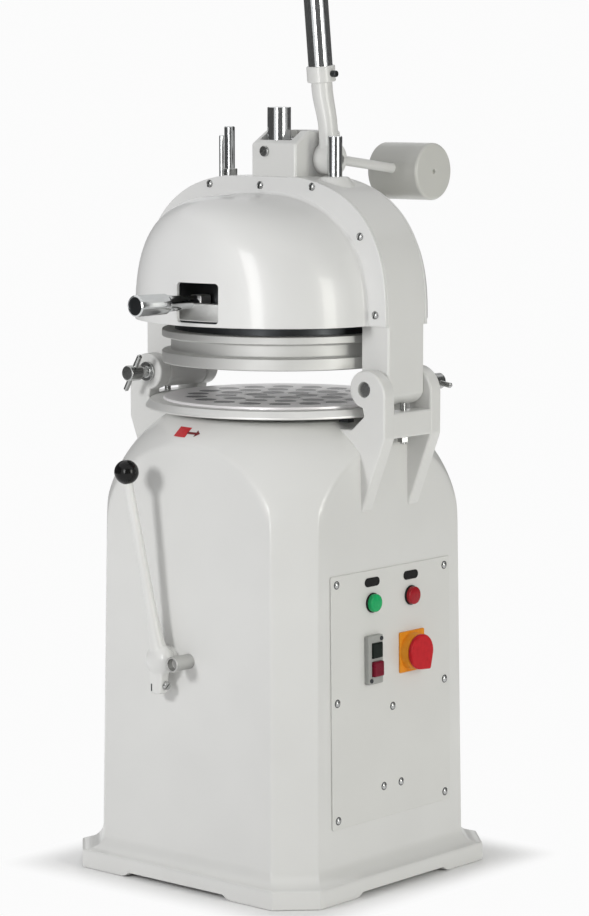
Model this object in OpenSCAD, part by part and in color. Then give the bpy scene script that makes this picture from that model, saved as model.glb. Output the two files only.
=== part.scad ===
// Bakery divider rounder: a hollow cast stand with an orbiting rounding table, and a head that
// swings up on a side pin and carries the dough press, the knives and a counterweighted lever.
// Millimetres. The origin is on the floor under the middle of the table and +Z is up.
// The operator stands on the -Y side and the control panel is on the +X face.

/* [Stand] */
// Half the width of the square foot
foot_half = 300; // [294:1:306]
// Cut at each corner of the foot
foot_corner = 62; // [56:1:68]
// Height of the foot's upright edge
foot_height = 36; // [30:1:42]
// Height of the hollow curve from the foot to the column
cove_height = 30; // [24:1:36]
// Half the width of the column at floor level
column_half = 271.2; // [267:0.2:275]
// Lean of the column's faces in degrees
column_draft = 0.732; // [0.5:0.002:0.9]
// Cut at each corner of the column
column_corner = 60.6; // [56:0.2:66]
// Thickness of the cast wall
wall = 12; // [10:0.5:14]
// Height of the stand without its table
stand_height = 860; // [840:1:880]
// Radius of the rounded shoulder
shoulder_radius = 254; // [250:1:258]
// Distance of the shoulder's centre from the middle
shoulder_centre = 80; // [77:1:83]
// Drop from the stand's top to the centre of the shoulder
shoulder_drop = 220; // [216:1:224]
// Height of the gap under the foot between its corners
foot_gap = 8; // [4:1:12]
// Half the width of the gap under the foot
foot_gap_half = 120; // [110:1:130]
// Distance between the floor bolt holes
bolt_spacing = 430; // [424:1:436]
// Radius of a floor bolt hole
bolt_hole = 7; // [5:0.5:8]

/* [Brackets] */
// Distance of the swing pins from the middle
pin_reach = 268; // [266:0.5:271]
// Height of the swing pins above the rounding plate
pin_rise = 33.5; // [33:0.5:40]
// Radius of a swing pin
pin_radius = 14; // [12:0.5:15]
// Radius of the bosses round the swing pins
boss_radius = 34; // [32:0.5:34]
// Clear space between the two ears of a bracket
ear_gap = 104; // [103:0.5:108]
// Thickness of an ear
ear_thick = 30; // [26:0.5:34]
// Reach of a bracket past its pin
bracket_over = 47; // [44:1:50]
// Drop of the shelf's top below the pins
shelf_drop = 42.5; // [40:0.5:44]
// Thickness of the shelf between the ears
shelf_thick = 46; // [42:1:50]
// Drop from the stand's top to the lower end of the gussets
gusset_drop = 161; // [150:1:170]

/* [Table] */
// Radius of the rounding table
table_radius = 254; // [250:1:256]
// Gap between the stand and the table
table_gap = 10; // [9:0.5:13]
// Thickness of the table
table_thick = 15; // [13:0.5:17]
// Radius of the rounding plate
plate_radius = 222; // [216:1:224]
// Thickness of the rounding plate
plate_thick = 5; // [4.5:0.5:7]
// Radius of a pocket in the rounding plate
pocket_radius = 21; // [18:0.5:22]
// Depth of a pocket
pocket_depth = 2; // [1:0.5:3]
// Largest throw of the table's orbit
orbit = 8; // [4:0.5:9]

/* [Head] */
// Half the width of a leg of the head
leg_over = 32; // [30:0.5:33]
// Depth of the yoke from front to back
yoke_depth = 108; // [105:1:114]
// Thickness of a cover's flange
flange_thick = 6; // [5:0.5:8]
// Height of the head's lower rim above the pins
rim_rise = 112.5; // [110:0.5:116]
// Height of the arch if it were not cut flat
arch_height = 268; // [267:1:272]
// Height of the flat top above the rim
head_height = 264; // [262:1:265]
// Step from the arch in to the domed covers
dome_inset = 44; // [40:1:48]
// Depth of a cover in front of the yoke
dome_depth = 220; // [214:1:226]
// Height of a cover
dome_height = 232; // [228:1:236]
// Thickness of a cover's shell
shell = 7; // [6:0.5:8]
// Height of the window's sill above the rim
window_low = 12; // [8:1:14]
// Height of the window
window_height = 66; // [62:1:74]
// Angle of the window's left side in degrees
window_left = -4.6; // [-6:0.1:-4.4]
// Angle of the window's right side in degrees
window_right = 15.3; // [15:0.1:17]
// Inner radius of the lock ring
lock_bore = 204; // [202:0.5:206]
// Outer radius of the lock ring
lock_radius = 232; // [226:0.5:233]
// Height of the lock ring
lock_height = 22; // [18:1:25]
// Distance of the lock handle's end from the middle
lock_reach = 386; // [376:1:396]
// Rest angle of the lock handle in degrees
lock_angle = -1.5; // [-1.6:0.1:-1]

/* [Press] */
// Clear height under the cutting ring with the press up
ring_open = 65; // [64.5:0.5:68]
// Bore of the cutting ring
ring_bore = 190; // [186:1:192]
// Radius of the cutting ring's flanges
ring_radius = 224; // [218:1:226]
// Radius of the cutting ring between its flanges
ring_waist = 207; // [204:1:212]
// Height of the lower flange
ring_low = 22; // [19:1:25]
// Height of the waist
ring_mid = 26; // [24:1:30]
// Height of the upper flange
ring_high = 14; // [12:1:16]
// Radius of the dark drum above the ring
drum_radius = 200; // [196:0.5:201]
// Height of the drum
drum_height = 100; // [80:1:110]
// Thickness of the press plate
press_thick = 16; // [14:1:18]
// Radius of the plunger
plunger_radius = 24; // [22:0.5:25]
// Distance of the plunger in front of the middle
plunger_front = 6.6; // [5.6:0.2:7.6]
// Height of the plunger above the head
plunger_rise = 127; // [120:1:135]
// Distance of the guide rods from the middle
guide_reach = 130; // [129:0.5:133]
// Radius of the right guide rod
right_guide = 13.5; // [12:0.5:14]
// Height of the right guide rod above the head
right_rise = 75; // [66:1:85]
// Radius of the left guide rod
left_guide = 10; // [8:0.5:11]
// Height of the left guide rod above the head
left_rise = 90; // [80:1:100]
// Radius of the thin rod in front of the left guide rod
thin_guide = 4.5; // [3.5:0.5:5]
// Thickness of a knife blade
blade = 2; // [1.5:0.5:2.5]
// Thickness of a press pad
pad_thick = 8; // [7:0.5:9]
// Stroke of the knives out of the pads
knife_stroke = 12; // [10:0.5:12.5]

/* [Press lever] */
// Distance of the lever's pivot behind the middle
pivot_back = 32; // [31:0.5:34]
// Height of the lever's pivot above the head
pivot_rise = 32; // [31:0.5:35]
// Pitch radius of the pinion
pinion_pitch = 40; // [39:0.5:40.5]
// Forward lean of the lever at rest in degrees
lever_lean = 6.4; // [5:0.1:8]
// Left end of the lever's hub
hub_start = 73; // [72.5:0.5:75]
// Right end of the lever's hub
hub_end = 112; // [110:0.5:114]
// Radius of the lever's hub
hub_radius = 28; // [26:0.5:30]
// Radius of the lever's tube
tube_radius = 22.5; // [21.5:0.5:23.5]
// Length of the lever from its pivot to the end of the tube
lever_length = 640; // [600:5:660]
// Distance of the counterweight from the pivot
weight_reach = 222; // [214:1:230]
// Radius of the counterweight
weight_radius = 54; // [50:1:58]
// Length of the counterweight
weight_length = 120; // [110:1:130]
// Fall of the counterweight's rod in degrees
weight_fall = 7; // [5:0.5:9]

/* [Rack block] */
// Left side of the block
block_left = 36; // [34:0.5:38]
// Right side of the block
block_right = 72; // [70:0.5:72]
// Front face of the block
block_front = 44; // [41:0.5:46]
// Back face of the block
block_back = 86; // [82:1:92]
// Height of the block's front edge
block_low = 60; // [56:1:62]
// Height of the block's back
block_high = 84; // [80:1:88]

/* [Rounding lever] */
// Distance of the lever's shaft left of the middle
lever_side = 43.5; // [40:0.5:48]
// Height of the lever's shaft above the floor
lever_height = 421; // [410:1:432]
// Length of the lever to the middle of its ball
ball_reach = 350; // [335:1:360]
// Radius of the ball knob
ball_radius = 22.5; // [20:0.5:25]
// Lean of the lever to the left at rest in degrees
ball_lean = 7.8; // [6:0.1:9]
// Radius of the lever's shaft
crank_radius = 14; // [12:0.5:15]
// Radius of the stop pin
stop_radius = 14; // [12:0.5:15]
// Distance of the stop pin right of the lever's shaft
stop_step = 49.5; // [47:0.5:54]

/* [Panel] */
// Width of the control panel
panel_width = 344; // [336:1:352]
// Height of the control panel
panel_height = 464; // [456:1:472]
// Height of the control panel's middle
panel_middle = 360; // [350:1:370]
// Thickness of the control panel
panel_thick = 3; // [2:0.5:4]
// Distance of the two columns of controls from the panel's middle line
column_step = 56; // [53:0.5:59]
// Height of the lamps
lamp_height = 532; // [524:1:540]
// Radius of a lamp's lens
lamp_radius = 16.5; // [14:0.5:18]
// Height of the tags
tag_height = 570; // [562:1:576]
// Height of the switches
switch_height = 428; // [420:1:436]
// Height of the start and stop switch case
case_height = 94; // [90:1:100]
// Width of the start and stop switch case
case_width = 42; // [40:0.5:48]
// Depth of the start and stop switch case
case_depth = 12; // [11:0.5:15]
// Side of a push button
button_side = 28; // [24:0.5:30]
// Radius of the main switch handle
handle_radius = 33; // [30:0.5:35]

/* [Drive] */
// Radius of the main shaft
shaft_radius = 20; // [18:0.5:22]
// Outer radius of the shaft bearings
bearing_radius = 36; // [34:0.5:38]
// Distance from the stand's top to the lower end of the main shaft
shaft_length = 315; // [310:1:320]
// Radius of the main pulley
pulley_radius = 100; // [96:1:104]
// Radius of the motor pulley
motor_pulley_radius = 36; // [33:1:38]
// Motor's place left of the middle
motor_left = 150; // [146:1:153]
// Motor's place behind the middle
motor_back = 60; // [57:1:63]
// Radius of the motor
motor_radius = 62; // [58:1:66]
// Length of the motor
motor_length = 112; // [105:1:115]

/* [Hidden] */
$fn = 96;
// Overrun of every cut
over = 1;
// Running clearance of a shaft in its bore
fit = 0.05;
// Clearance between pieces that pass each other
pass = 0.3;
// Lap of straight belt runs into the round ones
tangent_lap = 0.05;
// Reach of construction blocks past the stand
far = 2 * foot_half;
cove_steps = 8;
cove_top = foot_height + cove_height;
floor_thick = 20;
floor_open_half = 190;
top_thick = 14;
shoulder_z = stand_height - shoulder_drop;
shoulder_lead = 40;
table_z = stand_height + table_gap;
plate_z = table_z + table_thick;
plate_top = plate_z + plate_thick;
pin_z = plate_top + pin_rise;
shelf_top = pin_z - shelf_drop;
shelf_low = shelf_top - shelf_thick;
gusset_z = stand_height - gusset_drop;
bracket_x = pin_reach + bracket_over;
root_reach = 84;
bracket_root = pin_reach - root_reach;
// Drop of the bracket's root below the stand's top
root_drop = 11;
root_top = stand_height - root_drop;
// Inner corner of the notch that clears the table: how far inside the pin and below it
notch_in = 1.5;
notch_drop = 49.5;
// Run of the ear's edge from that corner down to its root
root_run = 28;
// Drop of the centre of the ear's outer rounding below the pin
ear_round_drop = 12.5;
// Clearance of the shelf round the orbiting table
table_clear = 4;
// Place, size and nut of an adjusting screw
adjust_step = 25;
adjust_radius = 6;
adjust_nut = 11;
nut_high = 11;
adjust_low = 14;
adjust_drop = 28.5;
// Tee screw: hub, neck, collar and bar
tee_hub = 15;
tee_hub_long = 32;
tee_neck = 10;
tee_neck_long = 20;
tee_collar = 19;
tee_collar_long = 5;
tee_short = 4;
tee_bar = 5;
tee_bar_long = 82;
tee_lean = 29;
right_tee_lean = 82;
ear_out = ear_gap / 2 + ear_thick;
// Steel block under the table's rim
stop_block = [22, 16, 10];
stop_block_x = 214;
stop_block_y = -66;
// Head levels and outlines
rim_z = pin_z + rim_rise;
head_top = rim_z + head_height;
arch_half = pin_reach + leg_over;
dome_half = arch_half - dome_inset;
arch_power = 2.7;
dome_power = 2.5;
nose_power = 5.7;
arch_steps = 24;
dome_levels = 12;
dome_turns = 20;
flange_y = yoke_depth / 2 + flange_thick;
leg_slack = 1;
leg_half = ear_gap / 2 - leg_slack;
leg_lap = 9;
slot_slack = 2;
seat_fit = 0.3;
lock_seat = 6;
lock_pad_half = 30;
lock_pad_lap = 14;
lock_lug = 18;
lock_rise = 41.5;
lock_lug_over = 15;
lock_rod = 9;
lock_grip = 11;
lock_knob = 20;
lock_knob_long = 92;
lock_root = 10;
screw_head = 7.5;
screw_high = 4;
// Cover screws as shares of the arch's half width and of the head's height
screw_shares = [[0, 0.94], [0.42, 0.94], [-0.42, 0.94], [0.8, 0.61], [-0.8, 0.61], [0.92, 0.08], [-0.92, 0.08]];
// Press levels
ring_z = plate_top + ring_open;
ring_top = ring_z + ring_low + ring_mid + ring_high;
press_low = ring_top - press_thick;
drum_wall = 8;
press_fit = 0.2;
pad_rise = 15;
pad_z = ring_z + pad_rise;
pad_slot = 5;
pad_margin = 3;
post_radius = 5;
post_fit = 0.6;
carrier_thick = 4;
carrier_clear = 2;
carrier_rise = knife_stroke + carrier_clear;
carrier_z = pad_z + pad_thick + carrier_rise;
blade_low = ring_z + knife_stroke;
knife_margin = 2;
// Shares of the knife radius at the two ring blades, so that all 36 fields have equal area
inner_share = sqrt(1 / 6);
middle_share = sqrt(1 / 2);
knife_radius = ring_bore - knife_margin;
inner_blade = knife_radius * inner_share;
middle_blade = knife_radius * middle_share;
field_counts = [6, 12, 18];
field_inner = [0, inner_blade, middle_blade];
blade_set = 1;
field_outer = [inner_blade, middle_blade, knife_radius - blade_set];
knife_hub = 4;
field_middle_share = 0.62;
field_middle = [inner_blade * field_middle_share, (inner_blade + middle_blade) / 2, (middle_blade + knife_radius) / 2];
thin_front = 28;
thin_side = 125;
thin_rise = 74;
slot_wide = 3;
slot_deep = 8;
collar_radius = 14.5;
collar_low = 14;
collar_high = 11;
// Rack and pinion
pivot_z = head_top + pivot_rise;
pinion_teeth = 16;
tooth_clear = 0.4;
tooth_deep = 5.5;
// Half widths of a tooth at its root, at its tip and above the rack, as shares of the pitch
tooth_root_share = 0.32;
tooth_tip_share = 0.14;
tooth_mouth_share = 0.36;
pinion_tip = pinion_pitch - tooth_clear;
rack_y = pivot_back - pinion_pitch - tooth_clear;
rack_pitch = 2 * PI * pinion_pitch / pinion_teeth;
rack_under = 12;
pinion_half = 13;
pinion_shaft_radius = 13;
pinion_room = 4;
slot_left = 18;
slot_right = 50;
bush_radius = 17;
slope_run = 40;
plug_radius = 10;
plug_high = 6;
plug_drop = 14;
plug_side = 2;
// Press lever: an arm with a set, a collar, a tube and a grip
arm_shift = 1.5;
arm_x = (hub_start + hub_end) / 2 + arm_shift;
arm_radius = 18.5;
tube_x = 86;
set_start = 76;
set_end = 112;
arm_end = 200;
spigot_radius = 20;
collar_start = 142;
lever_collar_long = 30;
lever_collar_wall = 4;
collar_screw_radius = 6;
collar_screw_long = 12;
tube_start = 150;
grip_wall = 3;
grip_long = 130;
grip_end = 12;
rod_x = 102;
rod_radius = 9;
rod_root = 16;
rod_sink = 20;
// Rounding lever
lever_face = column_half - lever_height * tan(column_draft);
lever_boss = 24;
lever_boss_long = 10;
bush_wall = 4;
bush_inside = 14;
lever_gap = 2;
lever_hub = 26;
lever_hub_long = 24;
lever_bar_root = 11.5;
lever_bar_tip = 9;
lug_reach = 46;
lug_angle = 2;
lug_radius = 16;
lug_bar = 11;
clamp_radius = 7;
clamp_high = 5;
// Depth of the flat under the clamp screw's head
clamp_flat = 2;
// How far the ball stands out to the front of the lever's hub
ball_out = 36;
shaft_inside = 186;
crank_hub = 22;
crank_thick = 16;
crank_reach = 60;
crank_eye = 14;
crank_hole = 6;
stop_long = 46;
// Panel
panel_open_margin = 40;
panel_seat = 0.04;
panel_screw_margin = 16;
panel_screw_radius = 5.5;
panel_screw_high = 2.5;
// Extra panel screws as shares of the panel's half width and half height from its middle
extra_shares = [[0.01, -0.12], [-0.145, -0.75], [0.145, -0.75]];
lamp_bezel = 3;
lamp_bezel_high = 4;
lamp_high = 20;
tag_wide = 42;
tag_tall = 18;
tag_thick = 1.2;
button_fit = 0.4;
button_gap = 6;
start_out = 2;
stop_out = 6;
button_in = 8;
switch_plate_tall = 76;
switch_plate_wide = 72;
switch_plate_thick = 2;
handle_neck = 14;
handle_neck_long = 6;
handle_thick = 20;
handle_spindle = 8;
// Drive
top_open = 58;
housing_flange = 90;
housing_wall = 12;
housing_length = 142;
housing_step = 28;
bearing_high = 18;
bearing_inset = 6;
bearing_low_inset = 10;
crank_head_radius = 44;
crank_head_gap = 4;
crank_head_high = 20;
slider_wide = 20;
slider_long = 50;
slider_high = 10;
slider_fit = 0.1;
eccentric_pin = 14;
pin_skin = 1;
table_bearing_radius = 25;
table_bearing_inset = 1;
housing_top = stand_height - housing_step;
housing_low = housing_top - housing_length;
crank_z = housing_top + crank_head_gap;
slider_z = crank_z + crank_head_high - slider_high;
slider_top = slider_z + slider_high;
shaft_low = stand_height - shaft_length;
pulley_lift = 11;
pulley_thick = 28;
pulley_z = shaft_low + pulley_lift;
belt_high = 10;
belt_thick = 8;
belt_proud = 1;
belt_gap = 0.5;
groove_high = 12;
belt_z = pulley_z + pulley_thick / 2;
motor_distance = sqrt(motor_left * motor_left + motor_back * motor_back);
motor_angle = 180 - atan2(motor_back, motor_left);
mount_thick = 10;
mount_margin = 12;
mount_hole = 16;
motor_shaft = 9;
motor_shaft_sink = 40;
motor_fin = 4;
motor_fins = 24;

// Half the width of the column's faces and the distance of its corner faces at a height
function face_at(z) = column_half - z * tan(column_draft);
function corner_at(z) = (2 * face_at(z) - column_corner) / sqrt(2);

// Half width of the arch and of the covers at a share of their height
function arch_x(share) = arch_half * pow(1 - pow(share, arch_power), 1 / arch_power);
function dome_x(share, inset) = (dome_half - inset) * pow(1 - pow(share, dome_power), 1 / dome_power);
function dome_y(share, inset) = (dome_depth - inset) * pow(1 - pow(share, nose_power), 1 / nose_power);

// A round bar between two points
module bar(from, to, start_radius, end_radius) {
  run = to - from;
  long = norm(run);
  translate(from)
    rotate([0, acos(run.z / long), atan2(run.y, run.x)])
      cylinder(h = long, r1 = start_radius, r2 = end_radius);
}

// A cylinder along X or Y from a start to an end
module along_x(from, to, radius) {
  translate([from, 0, 0]) rotate([0, 90, 0]) cylinder(h = to - from, r = radius);
}
module along_y(from, to, radius) {
  translate([0, from, 0]) rotate([-90, 0, 0]) cylinder(h = to - from, r = radius);
}

// An outline in X and Z carried along Y
module slab_y(from, to) {
  translate([0, to, 0]) rotate([90, 0, 0]) linear_extrude(height = to - from) children();
}

// Places children on the leaning right face, with their X pointing down and Z pointing out
module on_face(y, z, out) {
  translate([face_at(z), y, z]) rotate([0, 90 - column_draft, 0]) translate([0, 0, out]) children();
}

// The eight corners of the column at one height, from its half width and its width across the corners
function ring(half, diagonal, z) =
  let (short = diagonal * sqrt(2) - half)
    [
      [half, -short, z], [half, short, z], [short, half, z], [-short, half, z],
      [-half, short, z], [-half, -short, z], [-short, -half, z], [short, -half, z]
    ];

// The foot, the cove and the leaning column as rings of corners stacked from the floor up
module column() {
  foot_diagonal = (2 * foot_half - foot_corner) / sqrt(2);
  low_half = face_at(cove_top);
  low_diagonal = corner_at(cove_top);
  cove = [
    for (i = [0:cove_steps])
      let (turn = 90 - 90 * i / cove_steps)
        ring(foot_half - (foot_half - low_half) * cos(turn),
             foot_diagonal - (foot_diagonal - low_diagonal) * cos(turn),
             cove_top - cove_height * sin(turn))
  ];
  rings = concat(
    [ring(foot_half, foot_diagonal, 0)], cove,
    [ring(face_at(stand_height), corner_at(stand_height), stand_height)]
  );
  last = len(rings) - 1;
  sides = [
    for (i = [0:last - 1], k = [0:7])
      let (next = (k + 1) % 8)
        [8 * i + k, 8 * i + 8 + k, 8 * i + 8 + next, 8 * i + next]
  ];
  polyhedron(
    points = [for (level = rings) each level],
    faces = concat([[for (k = [0:7]) k]], sides, [[for (k = [0:7]) 8 * last + 7 - k]])
  );
}

// The rounded shoulder as a turned body, drawn in by an inset and cut at a height
module shoulder(inset, top) {
  rotate_extrude()
    intersection() {
      square([far, top]);
      union() {
        square([far, shoulder_z - shoulder_lead]);
        square([shoulder_centre + shoulder_radius - inset, shoulder_z]);
        translate([shoulder_centre, shoulder_z]) circle(r = shoulder_radius - inset);
      }
    }
}

module hollow_side(angle, low, top) {
  rotate([0, 0, angle])
    slab_y(-far, far)
      polygon([[-far, floor_thick], [low, floor_thick], [top, stand_height], [-far, stand_height]]);
}

module hollow() {
  intersection() {
    intersection_for (i = [0:3]) {
      intersection() {
        hollow_side(90 * i, face_at(floor_thick) - wall, face_at(stand_height) - wall);
        hollow_side(90 * i + 45, corner_at(floor_thick) - wall, corner_at(stand_height) - wall);
      }
    }
    shoulder(wall, stand_height - top_thick);
  }
}

module ear_outline() {
  notch_x = pin_reach - notch_in;
  notch_z = pin_z - notch_drop;
  round_z = pin_z - ear_round_drop;
  translate([pin_reach, pin_z]) circle(r = boss_radius);
  intersection() {
    translate([pin_reach, round_z]) circle(r = bracket_over);
    translate([pin_reach, round_z]) square(bracket_over);
  }
  polygon([
    [bracket_root, gusset_z], [face_at(gusset_z) - over, gusset_z], [bracket_x, shelf_low], [bracket_x, round_z],
    [notch_x, round_z], [notch_x, notch_z], [notch_x - root_run, root_top], [bracket_root, root_top]
  ]);
}

module bracket() {
  for (side = [-1, 1])
    translate([0, side * (ear_gap + ear_thick) / 2, 0])
      slab_y(-ear_thick / 2, ear_thick / 2) ear_outline();
  difference() {
    translate([bracket_root, -ear_gap / 2, shelf_low])
      cube([bracket_x - bracket_root, ear_gap, shelf_thick]);
    translate([0, 0, root_top])
      cylinder(h = shelf_thick + far, r = table_radius + orbit + table_clear);
  }
}

module bracket_bores() {
  translate([pin_reach, 0, pin_z]) along_y(-far, far, pin_radius + fit);
  translate([pin_reach + adjust_step, 0, shelf_low - over])
    cylinder(h = shelf_thick + 2 * over, r = adjust_radius + fit);
}

module stand_outside() {
  intersection() {
    column();
    shoulder(0, stand_height);
  }
}

module pedestal() {
  color("#DCDCDA")
    difference() {
      union() {
        stand_outside();
        translate([-lever_side, 0, lever_height])
          along_y(-lever_face - lever_boss_long, -lever_face + wall, lever_boss);
      }
      hollow();
      translate([-floor_open_half, -floor_open_half, -over])
        cube([2 * floor_open_half, 2 * floor_open_half, floor_thick + 2 * over]);
      for (turn = [0, 90])
        rotate([0, 0, turn])
          translate([-foot_gap_half, -far, -over]) cube([2 * foot_gap_half, 2 * far, foot_gap + over]);
      for (x = [-1, 1], y = [-1, 1])
        translate([x * bolt_spacing / 2, y * bolt_spacing / 2, -over])
          cylinder(h = floor_thick + 2 * over, r = bolt_hole);
      translate([0, 0, stand_height - top_thick - over])
        cylinder(h = top_thick + 2 * over, r = top_open);
      translate([-lever_side, 0, lever_height])
        along_y(-lever_face - lever_boss_long - over, -lever_face + wall + over, crank_radius + bush_wall);
      translate([stop_step - lever_side, 0, lever_height])
        along_y(-lever_face - over, -lever_face + wall + over, stop_radius);
      on_face(0, panel_middle, 0)
        cube([panel_height - 2 * panel_open_margin, panel_width - 2 * panel_open_margin, 2 * wall + 2 * over],
             center = true);
    }
}

module side_brackets() {
  color("#DCDCDA")
    difference() {
      union() {
        bracket();
        mirror([1, 0, 0]) bracket();
      }
      stand_outside();
      bracket_bores();
      mirror([1, 0, 0]) bracket_bores();
    }
}

module control_panel() {
  color("#D2D3CF")
    on_face(0, panel_middle, 0)
      difference() {
        translate([-panel_height / 2, -panel_width / 2, panel_seat])
          cube([panel_height, panel_width, panel_thick - panel_seat]);
        translate([panel_middle - switch_height, column_step, -over])
          cylinder(h = panel_thick + 2 * over, r = handle_spindle + fit);
      }
}

module panel_screws() {
  edge_y = panel_width / 2 - panel_screw_margin;
  edge_z = panel_height / 2 - panel_screw_margin;
  color("#B9BAB8")
    on_face(0, panel_middle, panel_thick) {
      for (y = [-1, 1], z = [-1, 0, 1])
        translate([z * edge_z, y * edge_y, 0]) cylinder(h = panel_screw_high, r = panel_screw_radius);
      for (place = extra_shares)
        translate([-place.y * panel_height / 2, place.x * panel_width / 2, 0])
          cylinder(h = panel_screw_high, r = panel_screw_radius);
    }
}

// Places children on the front of the panel
module on_panel(y, z) {
  on_face(0, panel_middle, panel_thick) translate([panel_middle - z, y, 0]) children();
}

module lamp(side) {
  on_panel(side * column_step, lamp_height) {
    cylinder(h = lamp_bezel_high, r = lamp_radius + lamp_bezel);
    cylinder(h = lamp_high, r = lamp_radius);
  }
}

module green_lamp() {
  color("#1FA35F") lamp(-1);
}

module red_lamp() {
  color("#B01E28") lamp(1);
}

module label_tags() {
  color("#1C1C1C")
    for (side = [-1, 1])
      on_panel(side * column_step, tag_height)
        linear_extrude(height = tag_thick) {
          square([tag_tall, tag_wide - tag_tall], center = true);
          for (end = [-1, 1])
            translate([0, end * (tag_wide - tag_tall) / 2]) circle(r = tag_tall / 2);
        }
}

module switch_case() {
  hole = button_side + 2 * button_fit;
  color("#BDBDBB")
    on_panel(-column_step, switch_height)
      difference() {
        translate([-case_height / 2, -case_width / 2, 0]) cube([case_height, case_width, case_depth]);
        for (side = [-1, 1])
          translate([side * (button_side + button_gap) / 2 - hole / 2, -hole / 2, -over])
            cube([hole, hole, case_depth + 2 * over]);
      }
}

module push_button(side, out) {
  on_panel(-column_step, switch_height)
    translate([side * (button_side + button_gap) / 2 - button_side / 2, -button_side / 2, case_depth - button_in])
      cube([button_side, button_side, button_in + out]);
}

module start_button() {
  color("#10201A") push_button(-1, start_out);
}

module stop_button() {
  color("#7A0A28") push_button(1, stop_out);
}

module switch_plate() {
  color("#E8952A")
    on_panel(column_step, switch_height)
      difference() {
        translate([-switch_plate_tall / 2, -switch_plate_wide / 2, 0])
          cube([switch_plate_tall, switch_plate_wide, switch_plate_thick]);
        translate([0, 0, -over]) cylinder(h = switch_plate_thick + 2 * over, r = handle_spindle + fit);
      }
}

module switch_handle() {
  color("#C8202C")
    on_panel(column_step, switch_height) {
      translate([0, 0, -panel_thick]) cylinder(h = panel_thick + switch_plate_thick + handle_neck_long, r = handle_spindle);
      translate([0, 0, switch_plate_thick + pass]) cylinder(h = handle_neck_long - pass, r = handle_neck);
      translate([0, 0, switch_plate_thick + handle_neck_long])
        linear_extrude(height = handle_thick) {
          circle(r = handle_radius);
          square(handle_radius);
        }
    }
}

module stop_pin() {
  color("#C9CACA")
    translate([stop_step - lever_side, 0, lever_height])
      along_y(-lever_face - stop_long, -lever_face + wall, stop_radius);
}

module lever_bush() {
  color("#B08D57")
    translate([-lever_side, 0, lever_height])
      difference() {
        along_y(-lever_face - lever_boss_long, -lever_face + wall + bush_inside, crank_radius + bush_wall);
        along_y(-lever_face - lever_boss_long - over, -lever_face + wall + bush_inside + over, crank_radius + fit);
      }
}

module bearing_housing() {
  color("#8E8F8C")
    difference() {
      union() {
        translate([0, 0, housing_low]) cylinder(h = housing_length, r = bearing_radius + housing_wall);
        translate([0, 0, housing_top - housing_step / 2])
          cylinder(h = housing_step / 2, r = housing_flange);
        translate([0, 0, housing_top])
          cylinder(h = housing_step - top_thick, r = housing_flange);
      }
      translate([0, 0, housing_low - over]) cylinder(h = housing_length + 2 * over, r = bearing_radius);
      translate([0, 0, housing_top]) cylinder(h = housing_step, r = top_open);
    }
}

module shaft_bearings() {
  color("#A9ABAE")
    for (z = [housing_low + bearing_low_inset, housing_top - bearing_inset - bearing_high])
      translate([0, 0, z])
        difference() {
          cylinder(h = bearing_high, r = bearing_radius);
          translate([0, 0, -over]) cylinder(h = bearing_high + 2 * over, r = shaft_radius + fit);
        }
}

// A block round two circles and the tangent lines between them, along X
module loop_block(first, second, distance, high) {
  lean = acos((first - second) / distance);
  near = first - tangent_lap;
  away = second - tangent_lap;
  cylinder(h = high, r = first);
  translate([distance, 0, 0]) cylinder(h = high, r = second);
  linear_extrude(height = high)
    polygon([
      [near * cos(lean), near * sin(lean)], [distance + away * cos(lean), away * sin(lean)],
      [distance + away * cos(lean), -away * sin(lean)], [near * cos(lean), -near * sin(lean)]
    ]);
}

module motor() {
  color("#5C6670")
    rotate([0, 0, motor_angle])
      translate([motor_distance, 0, housing_low + mount_thick])
        difference() {
          union() {
            cylinder(h = motor_length, r = motor_radius - motor_fin);
            for (i = [0:motor_fins - 1])
              rotate([0, 0, 360 * i / motor_fins])
                translate([0, -motor_fin / 2, motor_fin])
                  cube([motor_radius, motor_fin, motor_length - 2 * motor_fin]);
          }
          translate([0, 0, -over]) cylinder(h = motor_shaft_sink + 2 * over, r = motor_shaft + fit);
        }
}

module motor_mount() {
  housing = bearing_radius + housing_wall;
  color("#6E716F")
    rotate([0, 0, motor_angle])
      translate([0, 0, housing_low])
        difference() {
          loop_block(housing + mount_margin, motor_radius, motor_distance, mount_thick);
          translate([0, 0, -over]) {
            cylinder(h = mount_thick + 2 * over, r = housing);
            translate([motor_distance, 0, 0]) cylinder(h = mount_thick + 2 * over, r = mount_hole);
          }
        }
}

module v_belt() {
  main = pulley_radius + belt_proud;
  small = motor_pulley_radius + belt_proud;
  color("#1B1B1B")
    rotate([0, 0, motor_angle])
      translate([0, 0, belt_z - belt_high / 2])
        difference() {
          loop_block(main, small, motor_distance, belt_high);
          translate([0, 0, -over])
            loop_block(main - belt_thick, small - belt_thick, motor_distance, belt_high + 2 * over);
        }
}

// A grooved pulley on the Z axis
module pulley(radius) {
  groove = radius + belt_proud - belt_thick - belt_gap;
  difference() {
    cylinder(h = pulley_thick, r = radius);
    translate([0, 0, (pulley_thick - groove_high) / 2])
      difference() {
        cylinder(h = groove_high, r = radius + over);
        cylinder(h = groove_high, r = groove);
      }
  }
}

module main_pulley() {
  color("#7B7E80")
    translate([0, 0, pulley_z])
      difference() {
        pulley(pulley_radius);
        translate([0, 0, -over]) cylinder(h = pulley_thick + 2 * over, r = shaft_radius);
      }
}

module motor_pulley() {
  color("#7B7E80")
    rotate([0, 0, motor_angle])
      translate([motor_distance, 0, pulley_z]) {
        pulley(motor_pulley_radius);
        cylinder(h = housing_low + mount_thick + motor_shaft_sink - pulley_z, r = motor_shaft);
      }
}

module main_shaft() {
  color("#A9ABAE") translate([0, 0, shaft_low]) cylinder(h = crank_z - shaft_low, r = shaft_radius);
}

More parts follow.
